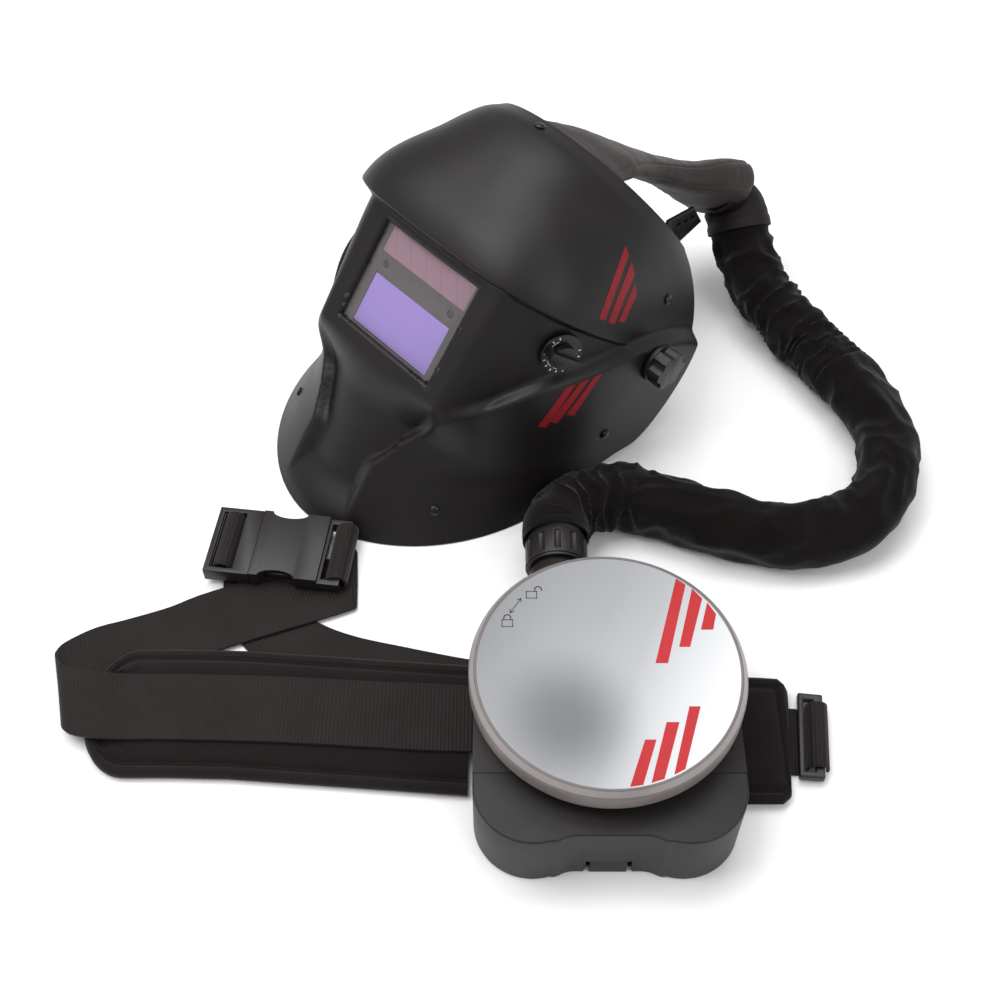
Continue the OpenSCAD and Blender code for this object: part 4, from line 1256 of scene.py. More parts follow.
@dataclass
class Blower:
    """The hip-worn housing with its filter cover, fan, spigot and collar.

    Args:
        cover_r: Radius of the filter cover.
        cover_h: Height of the cover's rim.
        cover_top: Height of the cover's plate.
        body_r: Radius of the housing.
        slots: Number of air slots under the cover.
    """

    cover_r: float = 89.0
    cover_h: float = 17.0
    cover_top: float = 86.5
    body_r: float = 86.0
    slots: int = 60

    def cover(self) -> None:
        """Turns the filter cover and cuts its air slots."""
        top, r = self.cover_top, self.cover_r
        low = top - self.cover_h
        skirt = low - 7
        plate = r - 5
        profile = [
            (0, top - 2.4), (plate - 0.5, top - 2.4), (r - 3, top - 7), (r - 3, low + 1),
            (self.body_r - 2.6, low), (self.body_r - 2.6, skirt), (self.body_r - 0.7, skirt),
            (self.body_r - 0.4, skirt + 0.4), (self.body_r, low - 0.4), (r - 0.8, low + 0.3),
            (r - 0.1, low + 1.1), (r, low + 2), (r, top - 5.9), (r - 0.2, top - 5.0),
            (r - 0.7, top - 4.0), (plate + 1.5, top - 0.35), (plate + 0.9, top),
            (plate + 0.2, top), (plate, top - 0.15), (plate, top - 0.6), (0, top - 0.6),
        ]
        piece = turned("filter_cover_shell", profile, Vector((0, 0, 0)), Vector((0, 0, 1)), 192)
        tools = []
        for i in range(self.slots):
            turn = Matrix.Rotation(math.tau * i / self.slots, 4, "Z")
            tool = box_piece("slot_tool", (self.body_r - 6, -3.1, skirt + 2), (self.body_r + 4, 3.1, skirt + 4.6))
            tool.data.transform(turn)
            tools.append(tool)
        cut(piece, joined("slot_tools", tools))
        dress(piece, "filter_cover", COVER, angle=30)
        # Painted highlight: a thin lighter ring over the bevel between the plate and the rim.
        rim = turned(
            "cover_rim_highlight_ring",
            [(r - 0.9, top - 3.85), (plate + 1.6, top - 0.28), (plate + 1.7, top - 0.2),
             (r - 0.75, top - 3.75)],
            Vector((0, 0, 0)), Vector((0, 0, 1)), 192,
        )
        dress(rim, "filter_cover", COVER_RIM_HIGHLIGHT, stands_for=False)

    def label(self) -> None:
        """Lays the printed foil on the cover, with its bars and lock signs."""
        top = self.cover_top - 0.1
        foil = turned(
            "cover_label_foil",
            [(0, top - 0.5), (self.cover_r - 5.2, top - 0.5), (self.cover_r - 5.2, top - 0.1),
             (self.cover_r - 5.4, top), (0, top)],
            Vector((0, 0, 0)), Vector((0, 0, 1)), 192,
        )
        dress(foil, "cover_label", label_material())
        red = [
            [(48, 68), (54, 63), (38, 3), (30, 3)],
            [(58, 60), (64, 52), (53, 15), (46, 15)],
            [(67, 49), (72, 40), (69, 28), (61, 28)],
            [(20, -51), (27, -51), (17, -81.2), (9, -82.5)],
            [(34, -39), (42, -39), (30, -77.3), (22, -79.9)],
            [(49, -28), (56, -28), (43, -70.9), (36, -74.6)],
        ]
        bars = [slab(f"bar_{i}", bar, top, top + 0.06) for i, bar in enumerate(red)]
        for bar in bars:
            self.weld(bar)
        dress(joined("cover_bars", bars), "cover_label", LABEL_RED, stands_for=False)
        signs = [
            *self.padlock((-64, 33), False, top), *self.padlock((-48, 55), True, top),
            *self.arrow((-62, 41), (-55, 52), top),
        ]
        dress(joined("cover_lock_signs", signs), "cover_label", DARK_PRINT, stands_for=False)

    def weld(self, piece: bpy.types.Object) -> None:
        """Cleans a thin printed shape."""
        outward(piece)

    def line(self, a: Point, b: Point, top: float, wide: float = 0.7) -> bpy.types.Object:
        """Prints a thin line from a to b."""
        way = Vector((b[0] - a[0], b[1] - a[1])).normalized() * wide / 2
        side = Vector((-way.y, way.x))
        corners = [
            (a[0] - way.x + side.x, a[1] - way.y + side.y),
            (b[0] + way.x + side.x, b[1] + way.y + side.y),
            (b[0] + way.x - side.x, b[1] + way.y - side.y),
            (a[0] - way.x - side.x, a[1] - way.y - side.y),
        ]
        return slab("line", corners, top, top + 0.05)

    def chain(self, points: Sequence[Point], top: float) -> list[bpy.types.Object]:
        """Prints a line through points."""
        return [self.line(a, b, top) for a, b in zip(points, points[1:])]

    def padlock(self, at: Point, is_open: bool, top: float) -> list[bpy.types.Object]:
        """Prints a padlock: a square body and a round shackle.

        Args:
            at: Middle of its body.
            is_open: True for an open shackle.
            top: Height of the foil.

        Returns:
            Its lines.
        """
        x, y = at
        shift = 4.4 if is_open else 0.0
        body = [(x - 3.4, y - 2.6), (x + 3.4, y - 2.6), (x + 3.4, y + 2.6), (x - 3.4, y + 2.6),
                (x - 3.4, y - 2.6)]
        arch = [(x + shift + 2.2 * math.cos(q), y + 4.2 + 2.2 * math.sin(q))
                for q in np.linspace(0, math.pi, 9)]
        legs = [(x + shift + 2.2, y + (2.6 if not is_open else 3.4))] + arch + [
            (x + shift - 2.2, y + 2.6)]
        return self.chain(body, top) + self.chain(legs, top)

    def arrow(self, a: Point, b: Point, top: float) -> list[bpy.types.Object]:
        """Prints a double arrow from a to b."""
        way = Vector((b[0] - a[0], b[1] - a[1])).normalized() * 2.6
        lines = [self.line(a, b, top)]
        for tip, sign in ((a, 1), (b, -1)):
            for turn in (0.6, -0.6):
                barb = Matrix.Rotation(turn, 2) @ (way * sign)
                lines.append(self.line(tip, (tip[0] + barb.x, tip[1] + barb.y), top))
        return lines

    def build(self) -> None:
        """Builds the blower."""
        self.cover()
        self.label()
        carried("rear_housing", HOUSING, 1.2, 3)
        carried("front_housing", HOUSING, 1.2, 3)
        carried("outlet_spigot", SPIGOT, 0.5)
        carried("hose_collar", COLLAR, 0.8, 3)
        carried("power_button", KNOB, 0.6)
        for node, finish in (
            ("spark_arrestor", MESH_STEEL), ("particle_filter", PAPER), ("filter_gasket", RUBBER),
            ("fan_impeller", PALE), ("motor_shaft", STEEL), ("fan_scroll", PALE),
            ("motor", STEEL), ("circuit_board", BOARD), ("housing_screws", STEEL),
            ("outlet_seal", ORANGE),
        ):
            paint(node, finish)


@dataclass
class Battery:
    """The battery with its two round lobes, which slides into the housing's lower bay.

    Args:
        lobe_r: Radius of a lobe.
        lobe_x: Sideways distance of the lobes.
        lobe_y: Place of the lobes' centres.
        reach: Distance from the disc's centre to the flat front.
        bay_y: Where the battery meets the housing.
        height: Height of the battery.
        wall: Thickness of its wall.
        flat_w: Width of the flat between the lobes.
        latch_w: Width of the latch.
        latch_h: Height of the latch.
    """

    lobe_r: float = 38.0
    lobe_x: float = 48.0
    lobe_y: float = -67.0
    reach: float = 100.0
    bay_y: float = -58.3
    height: float = 55.7
    wall: float = 2.5
    flat_w: float = 42.0
    latch_w: float = 24.0
    latch_h: float = 16.0

    def outline(self, inset: float) -> list[tuple[float, float]]:
        """Returns the plan of the battery, moved in by inset."""
        r = self.lobe_r - inset
        flat = -self.reach + inset
        corner = self.lobe_x + self.lobe_r - inset
        turn = math.radians(-106)
        right = [(self.lobe_x + r * math.cos(q), self.lobe_y + r * math.sin(q))
                 for q in np.linspace(0, turn, 34)]
        last, way = right[-1], (math.sin(turn), -math.cos(turn))
        knee = (self.flat_w / 2 + 9, flat)
        # A soft double bend leads from each lobe to the flat between them.
        bend = [last, (last[0] + way[0] * 6, last[1] - way[1] * 6), knee, (self.flat_w / 2, flat)]
        for t in np.linspace(0, 1, 14)[1:]:
            right.append(tuple(
                (1 - t) ** 3 * bend[0][k] + 3 * t * (1 - t) ** 2 * bend[1][k]
                + 3 * t * t * (1 - t) * bend[2][k] + t ** 3 * bend[3][k] for k in (0, 1)
            ))
        half = [(corner, self.bay_y - inset)] + right
        return half + [(-x, y) for x, y in reversed(half)]

    def build(self) -> None:
        """Builds the case, its front slots, its latch and its socket."""
        case = slab("battery_case_shell", self.outline(0), 0.3, self.height)
        activate(case)
        bpy.ops.object.mode_set(mode="EDIT")
        top = self.height * MM
        front = (self.bay_y - 2) * MM
        pick(case, lambda at, way: at.z > top - 1e-4 and at.y < front and abs(way.z) < 0.1, "EDGE")
        bpy.ops.mesh.bevel(offset=1.4 * MM, segments=4, profile=0.5, affect="EDGES")
        pick(case, lambda at, way: at.z < 4e-4 and at.y < front and abs(way.z) < 0.1, "EDGE")
        bpy.ops.mesh.bevel(offset=1.6 * MM, segments=3, profile=0.5, affect="EDGES")
        leave_edit()
        hollow = slab("hollow", self.outline(self.wall + 0.5), 2.8, self.height - self.wall)
        cut(case, hollow)
        deep = -self.reach + 4
        for side in (-1, 1):
            x = side * 13.5
            cut(case, box_piece("slot", (x - 1.1, -120, -5), (x + 1.1, deep, 17)))
            cut(case, box_piece("notch", (x - 2.1, -120, -5), (x + 2.1, deep, 4.2)))
        cut(case, box_piece("latch_room", (-12.4, -120, -5), (12.4, deep - 0.7, 16.3)))
        cut(case, box_piece("contact_room", (-30, self.bay_y - 7.7, 18), (30, -40, 26)))
        charge = turned("charge", [(0, 0), (2.75, 0), (2.75, 30), (0, 30)],
                        Vector((-0.091, -0.068, 0.014)), Vector((1, 0, 0)), 32)
        cut(case, charge)
        dress(case, "battery_case", BATTERY, angle=32)
        latch = box_piece("battery_latch_tab", (-self.latch_w / 2, -self.reach, 0.4),
                          (self.latch_w / 2, -self.reach + 3.0, self.latch_h))
        bevelled(latch, 0.7, 3)
        dress(latch, "battery_latch", BATTERY)
        paint("battery_cells", CELL)
        paint("battery_contacts", BRASS)


# ------------------------------------------------------------------ head duct and headgear


@dataclass
class Headgear:
    """The padded air duct over the head, and the headband with its ratchet.

    Args:
        stations: Forward, left and up place, half width, half height and tilt in degrees.
        squareness: How square the duct's section is.
        around: Faces round the duct.
    """

    stations: tuple = (
        (66, 0, 93, 54, 7, 0), (44, 1, 100, 50, 8, 0), (20, 4, 106, 40, 9, 0),
        (-6, 8, 109, 30, 10, 5), (-34, 12, 110, 24, 11, 12), (-62, 17, 112, 22, 12, 20),
        (-88, 21, 114, 25, 14, 30), (-112, 24, 117, 31, 17, 40),
        (-137, 27.4, 119.2, 34, 19, 46), (-144, 28.2, 119.8, 30, 19.8, 47),
        (-150, 29.2, 120.2, 24, 20.4, 48),
    )
    squareness: float = 2.4
    around: int = 72

    def duct(self) -> None:
        """Lofts the duct with its seams along both edges."""
        lines = spline(self.stations, 2.6)
        ahead = np.gradient(lines[:, :3], axis=0)
        ahead /= np.linalg.norm(ahead, axis=1)[:, None]
        rings = []
        for i, (f, l, u, a, b, tilt) in enumerate(lines):
            t = ahead[i]
            level = np.array([0, 1, 0]) - t * t[1]
            level /= np.linalg.norm(level)
            high = np.cross(t, level)
            c, s = math.cos(math.radians(tilt)), math.sin(math.radians(tilt))
            wide, tall = level * c - high * s, None
            tall = np.cross(t, wide)
            ring = []
            for k in range(self.around):
                q = math.tau * k / self.around
                cq, sq = math.cos(q), math.sin(q)
                soft = 0.9 * noise.noise(Vector((f / 22, cq * 1.3, sq * 1.3)))
                crease = 0.7 * (0.3 - abs(noise.noise(Vector((f / 9, cq, sq * 2 + 5)))))
                seam = -0.9 * math.exp(-((abs(cq) - 0.86) / 0.035) ** 2)
                grow = soft + crease + seam - 0.4
                x = math.copysign(abs(cq) ** (2 / self.squareness), cq) * (a + grow)
                y = math.copysign(abs(sq) ** (2 / self.squareness), sq) * (b + grow)
                ring.append(HELMET.at(*(np.array([f, l, u]) + wide * x + tall * y)))
            rings.append(ring)
        piece = loft("head_duct_cover", rings)
        outward_shell(piece)
        add_modifier(piece, "SOLIDIFY", thickness=1.8 * MM, offset=-1.0)
        dress(piece, "head_duct", DUCT, angle=50)

    def build(self) -> None:
        """Builds the duct and dresses the headgear."""
        self.duct()
        carried("duct_strap", HEADGEAR, 0.4)
        carried("headband", HEADGEAR, 0.5)
        carried("crown_band", HEADGEAR, 0.5)
        carried("ratchet_housing", HEADGEAR, 1.2, 3)
        carried("ratchet_knob", KNOB, 0.9)
        carried("side_bracket_left", HEADGEAR, 0.8)
        carried("side_bracket_right", HEADGEAR, 0.8)
        carried("pivot_bolts", STEEL, 0.4)
        carried("pivot_knob_left", KNOB, 1.2, 3)
        carried("pivot_knob_right", KNOB, 1.2, 3)
        self.sweatband()

    def sweatband(self) -> None:
        """Pads the forehead with a towelling band."""
        rows = []
        for q in np.linspace(-math.radians(74), math.radians(74), 56):
            row = []
            for w in np.linspace(0, math.tau, 24, endpoint=False):
                out = 87.0 - 2.4 + 2.3 * math.cos(w) ** 3 - 1.0
                wide = 71.0 - 2.4 + 2.3 * math.cos(w) ** 3 - 1.0
                puff = 0.4 * noise.noise(Vector((q * 6, math.cos(w), math.sin(w))))
                x, y, z = (out + puff) * math.cos(q), (wide + puff) * math.sin(q), 11 + 12.6 * math.sin(w)
                c, s = math.cos(math.radians(-10)), math.sin(math.radians(-10))
                row.append(HELMET.at(x * c + z * s - 4, y, -x * s + z * c + 22))
            rows.append(row)
        piece = loft("sweatband_pad", rows, closed=True)
        outward(piece)
        dress(piece, "sweatband", TERRY, angle=60)


# ------------------------------------------------------------------ helmet shell


def outward_shell(piece: bpy.types.Object) -> None:
    """Points an open tube's faces away from its middle."""
    mesh = piece.data
    count = 0
    n = len(mesh.polygons)
    for polygon in (mesh.polygons[n // 3], mesh.polygons[n // 2], mesh.polygons[2 * n // 3]):
        near = sum(
            (v.co for v in mesh.vertices if (v.co - polygon.center).length < 0.06), Vector()
        ) / max(sum(1 for v in mesh.vertices if (v.co - polygon.center).length < 0.06), 1)
        count += 1 if (polygon.center - near).dot(polygon.normal) > 0 else -1
    if count < 0:
        mesh.flip_normals()


# Crease over each cheek: share of the way round the side, and how far up the shell.
CREASE = ((0.00, 0.16), (0.18, 0.19), (0.25, 0.28), (0.38, 0.40), (0.55, 0.51), (0.75, 0.59),
          (0.88, 0.655), (1.00, 0.72))
CREASE_LINE = spline([(a, v, 0.0) for a, v in CREASE], 0.006)
CREASE_AT, CREASE_UP = CREASE_LINE[:, 0], CREASE_LINE[:, 1]


@dataclass
class Shell:
    """The helmet shell: a face panel with a window, cheeks that stand out, and a brim.

    Args:
        rows: How far up, centre forward and up, edge forward and up, width, squareness.
        half_w: Half width at the cheeks.
        wall: Thickness of the shell.
        cheek_out: How far the cheeks stand out.
        brim_out: How far the brim stands out.
        brim_v: How far up the brim starts.
        window: Forward, and middle height, of the window.
        window_w: Width of the window.
        window_h: Height of the window.
    """

    rows: tuple = (
        (0.00, 126, -221.3, 23, -131.3, 0.975, 1.9), (0.10, 129, -188, 0, -106, 0.975, 1.9),
        (0.22, 132, -148, -24, -86, 0.980, 1.9), (0.36, 137, -100, -44, -70, 0.990, 2.3),
        (0.50, 142, -50, -52, -42, 1.000, 3.0), (0.62, 144, 0, -54, -6, 1.000, 3.5),
        (0.72, 142, 38, -52, 22, 0.975, 3.3), (0.82, 130, 76, -42, 46, 0.915, 2.6),
        (0.92, 107, 103, -26, 66, 0.850, 2.2), (1.00, 84, 113, -10, 80, 0.790, 2.0),
    )
    half_w: float = 118.0
    wall: float = 3.0
    cheek_out: float = 9.0
    brim_out: float = 11.0
    brim_v: float = 0.637
    window: tuple[float, float] = (142.0, -39.0)
    window_w: float = 97.0
    window_h: float = 79.0
    case_x: float = 136.3
    rivets: tuple = (
        (0.96, 0.0), (0.78, 0.9), (0.78, -0.9), (0.41, 0.87), (0.41, -0.87), (0.10, 0.467),
        (0.10, -0.467),
    )
    dial: tuple[float, float] = (0.59, 0.58)

    def row(self, v: float) -> np.ndarray:
        """Returns the shell's row at v by smooth interpolation."""
        table = np.array(self.rows)
        x = table[:, 0]
        i = min(max(int(np.searchsorted(x, v)) - 1, 0), len(x) - 2)
        h = x[i + 1] - x[i]
        t = (v - x[i]) / h

        def slope(j: int) -> np.ndarray:
            """Returns the table's slope at row j."""
            a, b = max(j - 1, 0), min(j + 1, len(x) - 1)
            return (table[b] - table[a]) / (x[b] - x[a])

        return (
            (2 * t ** 3 - 3 * t * t + 1) * table[i] + (t ** 3 - 2 * t * t + t) * h * slope(i)
            + (3 * t * t - 2 * t ** 3) * table[i + 1] + (t ** 3 - t * t) * h * slope(i + 1)
        )

    def stand_out(self, v: float, s: float) -> float:
        """Returns how far the cheeks, the chin skirt and the brim stand out."""
        a = abs(s)
        c = float(np.interp(a, CREASE_AT, CREASE_UP))
        cheek = smooth((c - v) / 0.034 + 0.5) * smooth((a - 0.13) / 0.07)
        skirt = smooth((0.12 - v) / 0.10)
        brim = smooth((v - self.brim_v) / 0.012) * smooth((0.84 - v) / 0.2)
        return self.cheek_out * max(cheek, skirt) + self.brim_out * brim * smooth((0.97 - a) / 0.5)

    def point(self, v: float, s: float, more: float = 0.0, k: Optional[np.ndarray] = None) -> np.ndarray:
        """Returns a place on the shell: forward, left and up in millimetres.

        Args:
            v: How far up the shell, from 0 to 1.
            s: How far round, from -1 to 1.
            more: How far off the surface.
            k: The row at v, where it is known.

        Returns:
            The place.
        """
        k = self.row(v) if k is None else k
        o = self.stand_out(v, s) + more
        q = math.pi / 2 * abs(s)
        tip = math.radians(75 * max(v - 0.6, 0) / 0.4 - 20 * max(0.15 - v, 0) / 0.15)
        inward = 1 - max(math.cos(q), 0) ** (2 / k[6])
        y = math.copysign(1, s) * (k[5] * self.half_w + o) * math.sin(q) ** (2 / k[6]) if s else 0.0
        u = blend(k[2] + o * math.sin(tip), k[4], inward)
        f = blend(k[1] + o * math.cos(tip), k[3], inward)
        flat = smooth((86 - abs(y)) / 24) * smooth((u + 122) / 36) * smooth((26 - u) / 14)
        return np.array([max(f, blend(f, self.window[0] + more, flat)), y, u])

    def normal(self, v: float, s: float) -> np.ndarray:
        """Returns the outward normal at a place on the shell."""
        e = 0.004
        n = np.cross(
            self.point(v, s + e) - self.point(v, s - e), self.point(v + e, s) - self.point(v - e, s)
        )
        return n / np.linalg.norm(n)

    def skin(self) -> None:
        """Makes the shell with its window and its lip, and gives it its wall."""
        levels = self.even(lambda v: self.point(v, 0.35), 0.0, 1.0, 2.7)
        levels = np.sort(np.concatenate([levels, np.linspace(0.6345, 0.6525, 9)]))
        side = self.even(lambda s: self.point(0.42, s), 0.0, 1.0, 2.05)
        across = np.concatenate([-side[:0:-1], side])
        rows = []
        for v in levels:
            k = self.row(v)
            rows.append([self.point(v, s, 0.0, k) for s in across])
        piece = grid_piece("helmet_shell_skin", rows)
        front = max(piece.data.polygons, key=lambda p: p.center.x)
        if front.normal.x < 0:
            piece.data.flip_normals()
        activate(piece)
        bpy.ops.object.mode_set(mode="EDIT")
        chamfer = 1.8
        w, h = self.window_w / 2 + chamfer, self.window_h / 2 + chamfer
        f, u = self.window
        sides = (((0, w, 0), (0, 1, 0)), ((0, -w, 0), (0, 1, 0)), ((0, 0, u + h), (0, 0, 1)),
                 ((0, 0, u - h), (0, 0, 1)))
        for at, way in sides:
            pick(piece, lambda c, n: c.x > 0.12 and abs(c.y) < 0.07 and -0.1 < c.z < 0.02)
            bpy.ops.mesh.bisect(plane_co=Vector(at) * MM, plane_no=way)
        w, h = w * MM, h * MM
        bpy.ops.mesh.select_all(action="SELECT")
        bpy.ops.mesh.remove_doubles(threshold=0.35 * MM)
        pick(piece, lambda c, n: c.x > 0.12 and abs(c.y) < w and abs(c.z - u * MM) < h)
        bpy.ops.mesh.delete(type="FACE")
        near = 0.4 * MM
        pick(
            piece,
            lambda c, n: c.x > 0.12
            and ((abs(abs(c.y) - w) < near and abs(c.z - u * MM) < h + near)
                 or (abs(abs(c.z - u * MM) - h) < near and abs(c.y) < w + near)),
            "EDGE",
        )
        bpy.ops.mesh.extrude_edges_move(TRANSFORM_OT_translate={"value": (-1.6 * MM, 0, 0)})
        self.squeeze(piece, w, h, u * MM, chamfer * MM)
        bpy.ops.mesh.extrude_edges_move(
            TRANSFORM_OT_translate={"value": ((self.case_x + 1.9 - f) * MM, 0, 0)}
        )
        leave_edit()
        add_modifier(piece, "SOLIDIFY", thickness=self.wall * MM, offset=-1.0, use_even_offset=False)
        HELMET.place(piece)
        dress(piece, "helmet_shell", SHELL, angle=58)

    def even(
        self, curve: Callable[[float], np.ndarray], low: float, high: float, step: float
    ) -> np.ndarray:
        """Spaces values evenly along a curve on the shell.

        Args:
            curve: Takes a value and gives a place.
            low: First value.
            high: Last value.
            step: Distance between places in millimetres.

        Returns:
            The values.
        """
        values = np.linspace(low, high, 4000)
        spots = np.array([curve(value) for value in values])
        run = np.concatenate([[0], np.cumsum(np.linalg.norm(np.diff(spots, axis=0), axis=1))])
        return np.interp(np.linspace(0, run[-1], int(run[-1] / step) + 1), run, values)

    def squeeze(self, piece: bpy.types.Object, w: float, h: float, u: float, by: float) -> None:
        """Moves the window's new edge in by the chamfer, from all four sides."""
        bpy.ops.transform.resize(
            value=(1, (w - by) / w, (h - by) / h), center_override=(0, 0, u)
        )

    def bars(self) -> None:
        """Prints the red bars on the wearer's left side."""
        upper = (((0.835, 0.615), (0.82, 0.648), (0.68, 0.683), (0.68, 0.652)),
                 ((0.812, 0.672), (0.79, 0.712), (0.68, 0.733), (0.68, 0.70)),
                 ((0.775, 0.732), (0.755, 0.765), (0.69, 0.775), (0.69, 0.745)))
        lower = (((0.534, 0.655), (0.546, 0.685), (0.42, 0.648), (0.42, 0.618)),
                 ((0.552, 0.70), (0.564, 0.73), (0.44, 0.682), (0.44, 0.652)),
                 ((0.57, 0.745), (0.58, 0.77), (0.47, 0.732), (0.47, 0.702)))
        pieces = []
        for corners in upper + lower:
            a, b, c, d = (np.array(corner) for corner in corners)
            rows = []
            for t in np.linspace(0, 1, 22):
                left, right = a + (d - a) * t, b + (c - b) * t
                rows.append([self.point(*(left + (right - left) * w), 0.18)
                             for w in np.linspace(0, 1, 5)])
            strip = grid_piece("bar", rows)
            middle = strip.data.polygons[len(strip.data.polygons) // 2]
            if middle.normal.y < 0:
                strip.data.flip_normals()
            pieces.append(strip)
        group = joined("shell_bars", pieces)
        add_modifier(group, "SOLIDIFY", thickness=0.12 * MM, offset=-1.0)
        HELMET.place(group)
        dress(group, "helmet_shell", RED, stands_for=False)

    def studs(self) -> None:
        """Sets the rivets' domed heads and their washers."""
        heads = []
        for v, s in self.rivets:
            at, way = Vector(self.point(v, s)) * MM, Vector(self.normal(v, s))
            heads.append(turned(
                "rivet",
                [(0, -6), (3, -6), (3, -4.6), (1.5, -4.6), (1.5, 0.5), (3.9, 0.5), (4.0, 0.9),
                 (3.6, 1.5), (2.6, 2.0), (1.3, 2.25), (0, 2.3)],
                at, way, 28,
            ))
        group = joined("shell_rivet_heads", heads)
        HELMET.place(group)
        dress(group, "shell_rivets", DIAL)

    def shade_dial(self) -> None:
        """Builds the shade dial's scale on its bezel and dresses the knob."""
        carried("dial_bezel", DIAL, 0.6, 3)
        carried("shade_knob", DIAL, 0.9, 3)
        paint("control_box", KNOB)
        at, way = self.point(*self.dial), self.normal(*self.dial)
        turn = Vector(way).to_track_quat("Z", "X").to_matrix()
        marks = []
        for start, end, inner, outer in self.scale():
            corners = []
            steps = 6
            for r, angles in ((inner, np.linspace(start, end, steps)),
                              (outer, np.linspace(end, start, steps))):
                corners += [(r * math.cos(q), r * math.sin(q)) for q in angles]
            mark = slab("mark", corners, 4.62, 4.7)
            mark.data.transform(Matrix.Translation(Vector(at) * MM) @ turn.to_4x4())
            marks.append(mark)
        group = joined("dial_scale", marks)
        HELMET.place(group)
        dress(group, "dial_bezel", WHITE, stands_for=False)

    def scale(self) -> list[tuple[float, float, float, float]]:
        """Lists the dial's marks: start and end angle, inner and outer radius."""
        marks = []
        for i in range(13):
            q = math.radians(40 + i * 22)
            marks.append((q - 0.03, q + 0.03, 12.6, 14.6))
            if i % 2 == 0 and i < 12:
                marks.append((q + 0.09, q + 0.62, 11.2, 11.7))
        return marks

    def seal(self) -> None:
        """Hangs the cloth seal inside the chin."""
        s_max, rows = 0.78, []
        for w in np.linspace(0, 1, 16):
            row = []
            for t in np.linspace(-1, 1, 61):
                s = s_max * t
                p = self.point(0.08, s, -self.wall - 1.5)
                g = 1 - t * t
                pleat = 1.2 * math.sin(t * 58) * math.sin(math.pi * w)
                row.append((blend(p[0], 40 + 22 * g, w), blend(p[1], p[1] * 0.6, w),
                            blend(p[2], -104, w) + 1 + (6 + pleat) * math.sin(math.pi * w)))
            rows.append(row)
        piece = grid_piece("face_seal_sheet", rows, lambda i, k: (i * 6 * MM, k * 5 * MM))
        add_modifier(piece, "SOLIDIFY", thickness=1.0 * MM, offset=0.0)
        HELMET.place(piece)
        dress(piece, "face_seal", CLOTH_SEAL, angle=60)

    def cartridge(self) -> None:
        """Dresses the auto-darkening cartridge behind the window."""
        carried("filter_case", CASE, 0.6)
        carried("filter_glass", glass_material(), 0.3)
        carried("solar_cell", banded_material("solar_cell_film", "8f6f7b", "5f4650", 11.0), 0.15)
        carried("light_sensors", SENSOR, 0.3)
        paint("cover_lens", CLEAR)
        paint("inner_lens", CLEAR)
        paint("cartridge_holder", SHELL_INSIDE)
        lines = [
            box_piece("line", (self.case_x + 0.02, -40, low), (self.case_x + 0.12, 35, low + 0.9))
            for low in (-77.6,)
        ]
        group = joined("filter_lines", lines)
        HELMET.place(group)
        dress(group, "filter_case", DIAL, stands_for=False)

    def build(self) -> None:
        """Builds the shell and all that is on it."""
        self.skin()
        self.bars()
        self.studs()
        self.shade_dial()
        self.seal()
        self.cartridge()


# ------------------------------------------------------------------ belt


